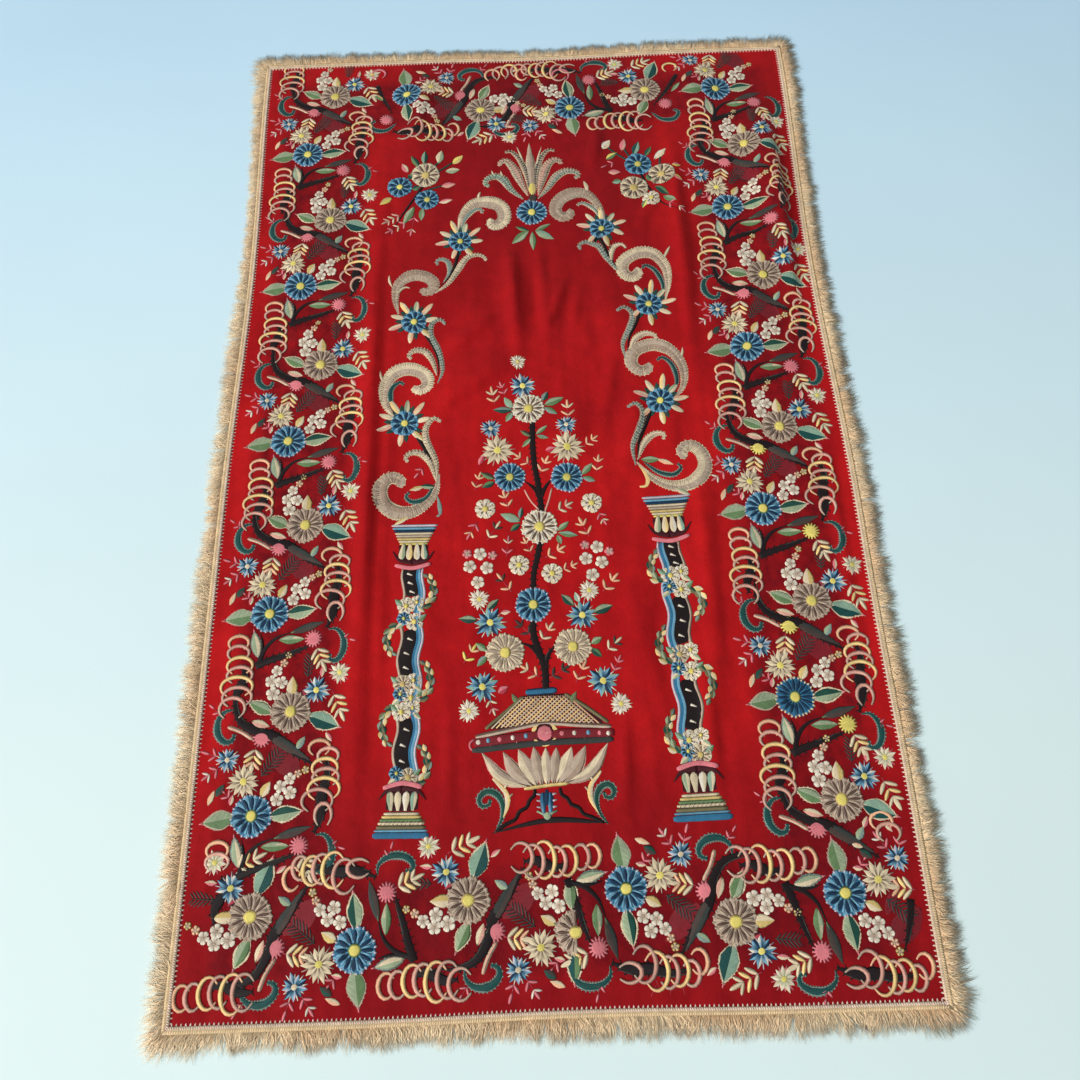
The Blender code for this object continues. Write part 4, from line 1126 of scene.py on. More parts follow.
def sew_vase(hoop):
    """The footed bowl that the tree stands in."""
    for index, (bx, by, mx, my, tx, ty, width) in enumerate(VASE_PETALS):
        threads = ("cream", "pale_taupe") if index % 4 < 2 else ("pale_taupe", "taupe")
        line = ((bx, by), (mx, my), (tx, ty))
        hoop.stitch(line, width + 0.3, "leaf", "tan_pink", 1, "along", 0.03)
        hoop.stitch(line, width, "leaf", threads, 2 + 0.2 * index, "along")
        hoop.stitch(line, 0.18, "taper", "dark_taupe", 5, "along", 0.03, 0.9)
    hoop.stitch(((0, -44.3), (0.1, -49.1)), 17.8, "dome", "wine", 0, "across", 0.02)
    for lean in (-1, 1):
        for index in range(-21, 22):
            y = np.linspace(-44.6, -48.9, 15)
            x = 0.72 * index + 1.15 * lean * (y + 46.7)
            inside = np.abs(x + 0.1) < 3.2 + 1.28 * (-44.4 - y)
            if inside.sum() > 3:
                x, y = x[inside], y[inside] + 0.35 * np.cos(x[inside] / 5) - 0.25
                thread = ("cream", "gold") if lean > 0 else ("peach", "tan_pink")
                hoop.stitch(np.stack([x, y], 1)[[0, -1]], 0.26, "even", thread[index % 2],
                            3 + lean, "across", 0.04, 0.9)
    for x, side in ((-4.2, -1), (3.9, 1)):
        leaf(hoop, (x, -45.6), (x + 0.9 * side, -44.0), 0.9, "leaf_green", "olive")
    for row in VASE_LINES:
        cord_line(hoop, *row, layer=2)
    for side, x, y in ((-1, -6.2, -59.6), (-1, -6.6, -57.9), (1, 6.3, -59.0), (1, 6.8, -57.2)):
        hoop.tick((x, y), (x - 0.9 * side, y + 1.0), 0.5, "cream", 3, 0.05)
    for index, (x, y) in enumerate(VASE_STUDS):
        hoop.dot(x, y, 0.36, ("white", "light_blue", "pink")[index % 3], 9, 0.05)
    hoop.dot(-0.3, -50.1, 1.95, "gold", 5, 0.04)
    hoop.dot(-0.3, -50.1, 1.6, "wine", 6, 0.04)
    hoop.dot(-0.3, -50.1, 1.15, "pink", 7, 0.07)
    for index in range(5):
        start, end = polar(72 * index, 0.15), polar(72 * index + 10, 0.8)
        hoop.tick((-0.3 + start[0], -50.1 + start[1]), (-0.3 + end[0], -50.1 + end[1]), 0.24,
                  "rose" if index % 2 else "white", 10, 0.04)
    for side in (-1, 1):
        ends = (-0.3 + 0.5 * side, -61.9), (-0.3 + 0.55 * side, -58.6)
        hoop.stitch(ends, 0.95, "petal", ("light_blue", "mid_blue", "mid_blue", "dark_blue"), 3,
                    "along")
        for k in range(3):
            base = (-0.3 + 0.85 * side, -58.9 - 0.9 * k)
            hoop.tick(base, (base[0] + 0.65 * side, base[1] + 0.1), 0.4, "lilac", 4, 0.04)
        hoop.tick((-0.3, -61.8), (-0.3 + 1.5 * side, -61.2), 0.6, "pale_green", 4, 0.05)
    hoop.stitch(((-0.3, -60.4), (-0.3, -58.2)), 0.8, "drop", "dark_blue", 6, "along")
    hoop.dot(-0.3, -61.9, 0.55, "pale_green", 7)


def sew_arch_flower(hoop, x, y, radius, heading):
    """A blue flower with long pale petals and dark leaves fanning out behind it."""
    placed = hoop.at(x, y)
    threads = ("cream", "peach", "pale_green", "gold", "cream", "tan_pink", "peach", "ochre")
    for index, offset in enumerate((-104, -66, -30, 6, 44, 82, 146, 200)):
        angle = heading + offset
        reach = radius + (2.1, 2.7, 2.1, 3.0, 2.3, 2.5, 2.0, 2.2)[index]
        ends = polar(angle, 0.8 * radius), polar(angle + 4, reach)
        placed.stitch(ends, 1.1, "drop", (threads[index], "cream"), 2, "along")
        ends = polar(angle + 18, 0.8 * radius), polar(angle + 20, radius + 1.3)
        placed.stitch(ends, 0.9, "leaf", ("dark_green", "charcoal"), 1, "along", 0.03)
    daisy(hoop, x, y, radius, "small blue")


def sew_wreath(hoop, line):
    """A thick leafy wreath along a line, thinner at its free end."""
    hoop.stitch(line, 1.0, "swell", ("olive", "dark_green"), 1)
    shares = np.linspace(0.0, 0.88, 10)
    places, ahead = along_line(line, shares), along_line(line, shares + 0.12)
    for k, (place, onward) in enumerate(zip(places, ahead)):
        heading = (onward - place) / np.linalg.norm(onward - place)
        aside = np.array([-heading[1], heading[0]]) * (0.34 if k % 2 else -0.34)
        size = 1.0 - 0.3 * shares[k]
        leaf(hoop, place + 0.5 * aside, place + (1.5 * heading + 1.6 * aside) * size, 0.95 * size,
             *LOOP_LEAVES[k % 5], layer=2 + k % 3)


def sew_column(hoop, column):
    """One banded column with a waved dark shaft, garlands and leaf loops."""
    run = np.array([column.top_x - column.base_x, column.top_y - column.base_y])
    height = float(np.linalg.norm(run))
    turn = math.degrees(math.atan2(run[1], run[0])) - 90.0
    hoop = hoop.at(column.base_x, column.base_y, turn, height / COLUMN_HEIGHT)
    side = column.side
    for y, half_width, thick, thread in COLUMN_BANDS:
        hoop.stitch(((-half_width, y), (half_width, y)), thick, "even", thread, 3)
    for index in range(11):
        x = -3.0 + 0.6 * index
        hoop.tick((x, 2.0), (x + 0.5, 2.7), 0.2, "dark_taupe" if index % 2 else "olive", 5)
    hoop.stitch(((0, 3.8), (0, 6.9)), 4.8, "even", "wine", 0, "across", 0.02)
    hoop.stitch(((0, 42.3), (0, 45.4)), 4.8, "even", "wine", 0, "across", 0.02)
    for x, thread in ((-1.6, "pale_green"), (-0.55, "cream"), (0.55, "white"), (1.6, "mint")):
        hoop.stitch(((x, 3.9), (x * 1.15, 6.6)), 1.2, "petal", (thread, "cream"), 9, "along")
        thread = {"cream": "gold"}.get(thread, thread)
        hoop.stitch(((x, 45.4), (x * 1.2, 42.6)), 1.2, "petal", (thread, "cream"), 9, "along")
    for lean in (-1, 1):
        ends = ((0, 42.1), (2.2 * lean, 42.6), (3.4 * lean, 44.1))
        hoop.stitch(ends, 0.85, "taper", "wine", 8)
        ends = ((0, 7.1), (2.3 * lean, 6.7), (3.5 * lean, 5.4))
        hoop.stitch(ends, 0.85, "taper", "wine", 8)
    hoop.stitch(((-2.9, 41.7), (0, 41.2), (2.9, 41.9)), 0.7, "even", "pink", 9)
    hoop.stitch(((-2.9, 7.1), (0, 7.8), (2.9, 7.2)), 0.75, "even", "pink", 9)
    heights = np.linspace(8.0, 41.2, 34)

    def strip(x, width, thread, layer):
        wave = [(x + 0.3 * math.sin(0.9 * y), y) for y in heights]
        hoop.stitch(wave, width, "even", thread, layer)

    strip(-1.35 * side, 0.55, ("pale_taupe", "taupe"), 2)
    strip(1.25 * side, 0.95, ("mid_blue", "light_blue"), 2)
    strip(1.85 * side, 0.45, "lilac", 2)
    for low, high in column.dark:
        wave = [(-0.15 * side + 0.3 * math.sin(0.9 * y), y) for y in np.linspace(low, high, 9)]
        hoop.stitch(wave, 2.2, "even", "black_brown", 3)
        for index in range(3):
            y = low + (index + 0.6) * (high - low) / 3.2
            x = -0.15 * side + 0.3 * math.sin(0.9 * y)
            hoop.tick((x - 0.35, y), (x + 0.5, y - 0.4), 0.42, "white", 12, 0.06)
    for index, y in enumerate(column.flowers):
        lean = -1 if index % 2 else 1
        daisy(hoop, 0.7 * lean, y, 1.45, ("rose", "small cream", "small cream")[index % 3])
        daisy(hoop, -1.0 * lean, y + 0.6, 1.1, ("small blue", "small cream")[index % 2])
        leaf(hoop, (1.2 * lean, y), (2.6 * lean, y + 1.2), 1.0, "mint", "leaf_green")
        leaf(hoop, (-0.8 * lean, y), (-2.3 * lean, y - 1.1), 1.0, "pale_green", "cream")
    for index, (rooted, free) in enumerate(column.wreaths):
        out = side if index % 2 == 0 else -side
        sew_wreath(hoop, smooth_line([(x * out, rooted + up * (free - rooted)) for x, up in LOOP]))


def sew_palmette(hoop):
    """The fan at the crown of the arch, with the flower and leaves that hang under it."""
    sew(hoop, PALMETTE)
    hoop.dot(0.9, 51.0, 0.8, "grey_brown", 5)
    daisy(hoop, 0.6, 47.6, 2.9, "blue")


def sew_arch(hoop):
    """The scrolls of the arch and its six blue flowers."""
    sew(hoop, ARCH_LEFT + ARCH_RIGHT)
    for x, y, radius, heading in ARCH_FLOWERS:
        sew_arch_flower(hoop, x, y, radius, heading)


# ---------------------------------------------------------------------------
# Finishes
# ---------------------------------------------------------------------------


class Finish:
    """A material whose steady values are set on its shader's own sockets."""

    def __init__(self, name, roughness, specular=0.5, sheen=0.0, sheen_tint=(1.0, 1.0, 1.0)):
        self.material = bpy.data.materials.new(name)
        self.material.use_nodes = True
        self.nodes, self.links = self.material.node_tree.nodes, self.material.node_tree.links
        self.shader = self.nodes["Principled BSDF"]
        for socket, value in (
            ("Roughness", roughness), ("Specular IOR Level", specular), ("Sheen Weight", sheen),
            ("Sheen Tint", (*sheen_tint, 1.0)),
        ):
            self.shader.inputs[socket].default_value = value
        self.places = self.nodes.new("ShaderNodeTexCoord").outputs["Object"]

    def attribute(self, name):
        """The value of one of the mesh's own attributes."""
        node = self.nodes.new("ShaderNodeAttribute")
        node.attribute_name = name
        return node.outputs["Fac"]

    def noise(self, scale, detail, stretch=None, at=None):
        """A noise texture over the piece, stretched where a direction matters."""
        at = at or self.places
        if stretch:
            mapping = self.nodes.new("ShaderNodeMapping")
            mapping.inputs["Scale"].default_value = stretch
            self.links.new(at, mapping.inputs["Vector"])
            at = mapping.outputs["Vector"]
        node = self.nodes.new("ShaderNodeTexNoise")
        node.inputs["Scale"].default_value = scale
        node.inputs["Detail"].default_value = detail
        self.links.new(at, node.inputs["Vector"])
        return node.outputs["Fac"]

    def bands(self, scale, distortion, direction, at):
        """Even ridges: a weave or the strands of a thread."""
        node = self.nodes.new("ShaderNodeTexWave")
        node.bands_direction = direction
        node.inputs["Scale"].default_value = scale
        node.inputs["Distortion"].default_value = distortion
        self.links.new(at, node.inputs["Vector"])
        return node.outputs["Fac"]

    def spread(self, value, low, high, from_low=0.3, from_high=0.7):
        """Map a noise value onto a range."""
        node = self.nodes.new("ShaderNodeMapRange")
        limits = {"From Min": from_low, "From Max": from_high, "To Min": low, "To Max": high}
        for socket, number in limits.items():
            node.inputs[socket].default_value = number
        self.links.new(value, node.inputs["Value"])
        return node.outputs["Result"]

    def product(self, first, second):
        """Two values multiplied."""
        node = self.nodes.new("ShaderNodeMath")
        node.operation = "MULTIPLY"
        self.links.new(first, node.inputs[0])
        self.links.new(second, node.inputs[1])
        return node.outputs["Value"]

    def mix(self, factor, first, second, blend="MIX"):
        """Mix two colours; each input may be a socket or a plain value."""
        node = self.nodes.new("ShaderNodeMix")
        node.data_type = "RGBA"
        node.blend_type = blend
        for socket, value in zip((node.inputs["Factor"], *node.inputs[6:8]), (factor, first, second)):
            if isinstance(value, bpy.types.NodeSocket):
                self.links.new(value, socket)
            else:
                socket.default_value = value if isinstance(value, float) else (*value, 1.0)
        return node.outputs[2]

    def shade(self, colour, value):
        """A colour made lighter or darker by a value."""
        grey = self.nodes.new("ShaderNodeCombineColor")
        for socket in ("Red", "Green", "Blue"):
            self.links.new(value, grey.inputs[socket])
        return self.mix(1.0, colour, grey.outputs["Color"], "MULTIPLY")

    def paint(self, colour, *heights):
        """Join the colour, and a chain of (height, distance, strength) bumps, to the shader."""
        self.links.new(colour, self.shader.inputs["Base Color"])
        normal = None
        for height, distance, strength in heights:
            bump = self.nodes.new("ShaderNodeBump")
            bump.inputs["Distance"].default_value = distance
            bump.inputs["Strength"].default_value = strength
            self.links.new(height, bump.inputs["Height"])
            if normal is not None:
                self.links.new(normal, bump.inputs["Normal"])
            normal = bump.outputs["Normal"]
        if normal is not None:
            self.links.new(normal, self.shader.inputs["Normal"])
        return self.material


def wool_material(settings):
    """Fulled red wool: brushed nap, faint weave and slightly worn patches, darkened by painted shade
    between the border stitches, over the upper field and at the near end.
    """
    wool = Finish("red_wool", 0.85, 0.12, 0.06, (1.0, 0.3, 0.28))
    broad = wool.spread(wool.noise(5.0, 3.0), 0.0, 1.0)
    colour = wool.mix(broad, settings.wool_deep[:], settings.wool_bright[:])
    # Painted shade over the upper field and at the near end.
    colour = wool.mix(wool.attribute("painted_shade"), colour, settings.wool_sewn[:])
    # Painted shade between the border stitches, broken up by noise; the same mask also drives the pucker
    # bump.
    sewn = wool.attribute("sewn")
    stitch_shade_mottle = wool.spread(wool.noise(48.0, 4.0), 0.45, 1.0)
    colour = wool.mix(wool.product(sewn, stitch_shade_mottle), colour, settings.wool_sewn[:])
    patches = wool.spread(wool.noise(34.0, 5.0), 0.9, 1.08)
    nap = wool.spread(wool.noise(420.0, 2.0, (1.0, 0.35, 1.0)), 0.92, 1.07)
    drape = wool.noise(1.0, 0.8, (24.0, 7.0, 1.0))
    crumple = wool.noise(26.0, 4.0)
    pucker = wool.product(sewn, wool.noise(75.0, 3.0))
    fuzz = wool.noise(900.0, 3.0)
    weave = wool.bands(260.0, 1.5, "DIAGONAL", wool.places)
    return wool.paint(
        wool.shade(wool.shade(colour, patches), nap), (drape, 0.012, 0.6), (crumple, 0.004, 0.5),
        (pucker, 0.003, 0.6), (fuzz, 0.0005, 0.4), (weave, 0.0002, 0.25),
    )


def thread_material(name, roughness=0.6, sheen=0.04, pitch=0.0006):
    """Twisted thread: colours from the thread_colour attribute, ridges along the stitches."""
    thread = Finish(name, roughness, 0.22, sheen)
    colours = thread.nodes.new("ShaderNodeVertexColor")
    colours.layer_name = "thread_colour"
    stitches = thread.nodes.new("ShaderNodeUVMap")
    stitches.uv_map = "stitches"
    along = stitches.outputs["UV"]
    strands = thread.noise(1.0, 2.0, (0.8 / pitch, 60.0, 1.0), along)
    worn = thread.spread(thread.noise(60.0, 3.0), 0.88, 1.08)
    colour = thread.shade(colours.outputs["Color"], thread.spread(strands, 0.72, 1.18))
    ridges = thread.bands(0.314 / pitch, 0.6, "X", along)
    return thread.paint(thread.shade(colour, worn), (ridges, 0.00022, 0.5), (strands, 0.0002, 0.4))


def floor_material(settings):
    """A pale floor, darker and bluer towards the far end as painted light falloff."""
    floor = Finish("pale_floor", 0.75)
    place = floor.nodes.new("ShaderNodeSeparateXYZ")
    floor.links.new(floor.places, place.inputs["Vector"])
    # Painted light falloff from the near to the far end.
    far = floor.spread(place.outputs["Y"], 0.0, 1.0, -0.6, 1.0)
    base = floor.mix(far, settings.floor_near_lit[:], settings.floor_far_shade[:])
    return floor.paint(floor.shade(base, floor.spread(floor.noise(1.3, 3.0), 0.97, 1.02)))


# ---------------------------------------------------------------------------
# Meshes
# ---------------------------------------------------------------------------


def link_piece(name, mesh, material, slot, *replaced):
    """Put a mesh in the scene as a piece that rides on the rug."""
    mesh.materials.append(material)
    piece = bpy.data.objects.new(name, mesh)
    bpy.context.scene.collection.objects.link(piece)
    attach(piece, "root")
    if replaced:
        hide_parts(*replaced)
    return piece


def mesh_from_arrays(name, places, corners, face_sizes):
    """A mesh from joined arrays of many small shapes."""
    mesh = bpy.data.meshes.new(name)
    mesh.vertices.add(len(places))
    mesh.vertices.foreach_set("co", np.asarray(places, np.float32).ravel())
    mesh.loops.add(len(corners))
    mesh.loops.foreach_set("vertex_index", np.asarray(corners, np.int32))
    mesh.polygons.add(len(face_sizes))
    starts = np.concatenate([[0], np.cumsum(face_sizes)[:-1]])
    mesh.polygons.foreach_set("loop_start", starts.astype(np.int32))
    mesh.update(calc_edges=True)
    mesh.polygons.foreach_set("use_smooth", np.ones(len(face_sizes), bool))
    return mesh


def built_mesh(name, builder):
    """The mesh of a finished builder."""
    mesh = bpy.data.meshes.new(name)
    builder.to_mesh(mesh)
    builder.free()
    return mesh


def stitch_section(widest):
    """A stitched shape's cross-section: places across, their rise, and how many lie on top."""
    top = 3 if widest < 0.0036 else 5 if widest < 0.01 else 2 * math.ceil(widest / 0.0025) + 1
    angles = np.linspace(0.5, -0.5, top) * np.pi
    across, rise = np.sin(angles), np.cos(angles)
    if top > 5:                               # a wide shape's underside follows the cloth too
        below = np.linspace(-1.0, 1.0, math.ceil(widest / 0.006) + 2)[1:-1]
        across, rise = np.concatenate([across, below]), np.concatenate([rise, 0.0 * below])
    return across, rise, top


def stitch_run(lay, travelled, sideways, shift):
    """Texture places whose first axis crosses the stitches of a shape."""
    if lay == "along":
        return np.stack([sideways + shift, travelled], -1)
    slant = 0.7 * np.abs(sideways) if lay == "slant" else 0.3 * sideways
    return np.stack([travelled + slant, sideways], -1)


def stitched_arrays(shapes, ground, layer_height):
    """Every vertex, corner, colour and stitch coordinate of a list of stitched shapes."""
    places, corners, sizes, colours, stitches = [], [], [], [], []
    first = 0
    for shape in shapes:
        line, half = shape.line * 0.01, shape.half * 0.01
        count = len(line)
        across, rise, top = stitch_section(half.max())
        ring = len(across)
        to_left = unit_headings(np.gradient(line, axis=0))[1]
        plan = line[:, None] + to_left[:, None] * (half[:, None] * across)[..., None]
        fullness = np.clip(half / max(half.max(), 1e-6), 0.25, 1.0)
        lift = 0.00004 + shape.layer * layer_height + rise * shape.crown * 0.01 * fullness[:, None]
        base = first + ring * np.arange(count)
        left_row, right_row = base[:-1], base[1:]
        for j in range(ring - 1):
            quads = np.stack([left_row + j, left_row + j + 1, right_row + j + 1, right_row + j], 1)
            corners.append(quads.ravel())
            tint = shape.left if j < top // 2 else shape.right
            here, ahead = tint[:-1], tint[1:]
            colours.append(np.stack([here, here, ahead, ahead], 1).reshape(-1, 3))
        under = np.stack([left_row + ring - 1, left_row, right_row, right_row + ring - 1], 1)
        corners.append(under.ravel())
        here, ahead = shape.left[:-1], shape.left[1:]
        colours.append(np.stack([here, here, ahead, ahead], 1).reshape(-1, 3))
        sizes += [4] * (ring * (count - 1))
        corners.append(np.concatenate([[first], first + np.arange(ring - 1, 0, -1)]))
        corners.append(base[-1] + np.arange(ring))
        colours += [np.repeat(shape.left[:1], ring, 0), np.repeat(shape.left[-1:], ring, 0)]
        sizes += [ring, ring]
        travelled = travelled_along(line)[:, None] + 0 * across
        stitch = stitch_run(shape.lay, travelled, half[:, None] * across, 0.013 * len(places))
        places.append(np.concatenate([plan, lift[..., None]], -1).reshape(-1, 3))
        stitches.append(stitch.reshape(-1, 2))
        first += ring * count
    places, corners = np.concatenate(places), np.concatenate(corners)
    down = Vector((0.0, 0.0, -1.0))
    height = 0.0
    for index, (x, y, lift) in enumerate(places):
        hit = ground.ray_cast(Vector((x, y, 1.0)), down)[0] if ground else None
        height = hit.z if hit else height
        places[index, 2] = lift + height
    return places, corners, sizes, np.concatenate(colours), np.concatenate(stitches)


def finish_threads(mesh, corners, colours, stitches):
    """Give a thread mesh its colours and the run of its stitches."""
    attribute = mesh.color_attributes.new("thread_colour", "FLOAT_COLOR", "CORNER")
    rgba = np.concatenate([colours, np.ones((len(colours), 1))], 1)
    attribute.data.foreach_set("color", rgba.astype(np.float32).ravel())
    layer = mesh.uv_layers.new(name="stitches")
    layer.data.foreach_set("uv", stitches[corners].astype(np.float32).ravel())


def sew_piece(name, fill, *details):
    """Stitch one piece of needlework on the finished cloth's upper face."""
    mix_threads()
    hoop = Hoop()
    fill(hoop, *details)
    graph = bpy.context.evaluated_depsgraph_get()
    ground = BVHTree.FromObject(bpy.data.objects["rug_cloth"], graph)
    layer_height = bpy.context.scene.rug_settings.thread_height
    arrays = stitched_arrays(hoop.shapes, ground, layer_height)
    mesh = mesh_from_arrays(f"needlework_{name}", *arrays[:3])
    finish_threads(mesh, arrays[1], *arrays[3:])
    thread = bpy.data.materials.get("thread") or thread_material("thread")
    link_piece(f"needlework_{name}", mesh, thread, "thread")


# Flat strips along the cloth's edge: how far out of it they start and end, and their heights.
Strip = namedtuple("Strip", "inner outer low high")
BRAID_STRIP = Strip(-0.0048, 0.0048, 0.0023, 0.0034)
HEAD_STRIP = Strip(0.0003, 0.0058, 0.0, 0.002)
STRIP_SPACING = 0.02         # between the points of a strip
BRAID_PITCH = 0.0032
LOCK_PITCH = 0.015
CORNER_FAN = 0.085           # how far from a corner the fringe starts to fan out


def flat_strip(side, strip):
    """A closed narrow strip that follows the cloth's edge."""
    half = SIDES[side].half_length
    builder = bmesh.new()
    bmesh.ops.create_grid(builder, x_segments=round(2 * half / STRIP_SPACING), y_segments=2, size=0.5)
    for vertex in builder.verts:
        out = strip.inner + (vertex.co.y + 0.5) * (strip.outer - strip.inner)
        reach = half + out - 0.0003
        plan = edge_places(side, 2 * vertex.co.x * reach, out)
        vertex.co = (plan[0], plan[1], strip.low)
    raised = bmesh.ops.extrude_face_region(builder, geom=builder.faces[:])
    top = [item for item in raised["geom"] if isinstance(item, bmesh.types.BMVert)]
    bmesh.ops.translate(builder, verts=top, vec=(0, 0, strip.high - strip.low))
    bmesh.ops.recalc_face_normals(builder, faces=builder.faces[:])
    return built_mesh("strip", builder)


def mesh_arrays(mesh):
    """Places, corners and face sizes of a mesh."""
    places = np.empty(3 * len(mesh.vertices), np.float32)
    mesh.vertices.foreach_get("co", places)
    corners = np.empty(len(mesh.loops), np.int32)
    mesh.loops.foreach_get("vertex_index", corners)
    sizes = np.empty(len(mesh.polygons), np.int32)
    mesh.polygons.foreach_get("loop_total", sizes)
    return places.reshape(-1, 3), corners, sizes


def link_trimming(name, side, strip, colour, arrays, material, slot):
    """Put a length of trimming in the scene: a flat strip, and the threads on it."""
    places, corners, sizes = mesh_arrays(flat_strip(side, strip))
    plain = np.tile(colour, (len(corners), 1))
    arrays = (arrays[0], arrays[1] + len(places), *arrays[2:])
    joined = [
        np.concatenate(pair) for pair in zip((places, corners, sizes, plain, places[:, :2]), arrays)
    ]
    mesh = mesh_from_arrays(f"{slot}_{side}", *joined[:3])
    finish_threads(mesh, joined[1], *joined[3:])
    link_piece(f"{name}_{side}", mesh, material, slot, f"{slot}_{side}")


def braid_hoop(side):
    """Plaited stitches of the header braid, and the small pointed stitches on its inner edge."""
    hoop = Hoop()
    half = SIDES[side].half_length
    for index in range(int(2 * half / BRAID_PITCH)):
        along = -half + BRAID_PITCH * (index + 0.5)
        for out, lean in ((-0.0026, 0.0011), (0.0022, -0.0011)):
            ends = edge_places(side, (along - lean, along + lean), (out - 0.0021, out + 0.0021))
            hoop.stitch(ends * 100, 0.27, "swell", "braid" if out > 0 else "braid inner", 1,
                        "along", 0.08)
        if index % 2 == 0:
            ends = edge_places(side, (along, along + 0.0004), (-0.0036, -0.0086))
            hoop.stitch(ends * 100, 0.34, "ray", "braid inner", 0, "along", 0.07)
    return hoop


def strand_colours(random, along, lock, lock_count, settings, seed):
    """Each strand's colours at its root, bend and tip, one for each of its seven places: darker and more
    golden towards the root, partly a golden tone that varies in patches along the edge and partly painted
    shade where the strands bunch.
    """
    count = len(along)
    tone = random.normal(1.0, 0.07, count) * (0.93 + 0.12 * random.random(lock_count)[lock])
    tone = tone[:, None]
    base, tip, dark = (np.array(value[:]) for value in (
        settings.fringe_gold, settings.fringe_tip, settings.fringe_root))
    golden = 0.5 + 0.5 * np.sin(2 * np.pi * along / 0.27 + 2.0 * seed)
    golden = np.clip(golden + random.normal(0.0, 0.25, count), 0.0, 1.0)[:, None]
    # Painted shade: root and bend take the darker, more golden colour; the tips stay pale.
    near = base + (dark - base) * golden
    steps = np.stack([near * tone, (0.6 * near + 0.4 * tip) * tone, tip * tone], 1)
    return np.repeat(steps, (3, 3, 1), axis=1).reshape(-1, 3)


def fringe_arrays(side, settings, seed):
    """Brush fringe: many fine strands that lie level, gathered into uneven locks."""
    random = np.random.default_rng(seed)
    row = SIDES[side]
    half = row.half_length
    count = int(2 * half * settings.strands)
    along = np.sort(random.uniform(-half - 0.003, half + 0.003, count))
    lock_count = int(2 * half / LOCK_PITCH)
    lock_edges = np.linspace(-half, half, lock_count + 1)
    lock = np.clip(np.searchsorted(lock_edges, along) - 1, 0, lock_count - 1)
    lock_centre = (lock_edges[:-1] + lock_edges[1:])[lock] / 2
    lock_lean = np.radians(random.normal(0, 15.0, lock_count))[lock]
    lock_reach = random.uniform(0.76, 1.0, lock_count)[lock]
    share = smoothstep(1 - (half - np.abs(along)) / CORNER_FAN)  # 1 at the corners
    sway = math.radians(7) * np.sin(2 * np.pi * along / 0.31) * (1 - share)
    turn = np.copysign(math.radians(38) * share, along) + sway + lock_lean * (1 - 0.6 * share)
    turn = turn + np.radians(random.normal(0, 17.0, count))
    reach = FRINGE_REACH * lock_reach * random.uniform(0.72, 1.0, count)
    if side in TUCKS:
        tuck = TUCKS[side]
        reach *= 1.0 - (1.0 - tuck.share) * hump((along - tuck.centre) / tuck.half_length)
    reach *= 1.0 + 0.2 * share
    heading = row.outward * np.cos(turn)[:, None] + row.along * np.sin(turn)[:, None]
    across = row.along * np.cos(turn)[:, None] - row.outward * np.sin(turn)[:, None]
    root = edge_places(side, along, 0.0003)
    gather = (lock_centre - along) * random.uniform(0.0, 0.4, count) * (1 - share)
    crown = random.uniform(0.0006, 0.0042, count)
    start = random.uniform(0.0018, 0.0028, count)
    rest = random.uniform(0.0004, 0.0028, count)
    wave = random.uniform(-0.006, 0.006, count)
    lifts = (start, crown, rest)
    lines = []
    for share_out, bend in ((0.0, 0.0), (0.45, 1.0), (1.0, -0.3)):
        drift = wave * bend + gather * share_out**1.5
        lines.append(root + heading * (reach * share_out)[:, None] + across * drift[:, None])
    width = settings.strand_width * random.uniform(0.7, 1.15, count)
    rings = []
    for k in range(2):
        for angle in (270, 30, 150):
            aside = width * (0.625, 0.52)[k] * math.cos(math.radians(angle))
            lift = lifts[k] + width * 0.5 * math.sin(math.radians(angle))
            plan = lines[k] + across * aside[:, None]
            rings.append(np.concatenate([plan, np.maximum(lift, 0.0003)[:, None]], 1))
    rings.append(np.concatenate([lines[2], np.maximum(lifts[2], 0.0003)[:, None]], 1))
    places = np.stack(rings, 1)
    faces = [(0, 3, 4, 1), (1, 4, 5, 2), (2, 5, 3, 0), (3, 6, 4), (4, 6, 5), (5, 6, 3), (0, 1, 2)]
    first = 7 * np.arange(count)[:, None]
    corners = np.concatenate([first + np.array(face) for face in faces], 1).ravel()
    sizes = np.tile([4] * 3 + [3] * 4, count)
    colours = strand_colours(random, along, lock, lock_count, settings, seed)
    run = np.repeat(np.array((0.0, 0.45, 1.0)) * FRINGE_REACH, (3, 3, 1))
    stitches = np.stack([np.tile([0.0, 0.3, 0.6] * 2 + [0.3], count) * 0.001 + np.repeat(along, 7),
                         np.tile(run, count)], 1)
    return places.reshape(-1, 3), corners, sizes, colours[corners], stitches


# ---------------------------------------------------------------------------
# Operators
# ---------------------------------------------------------------------------


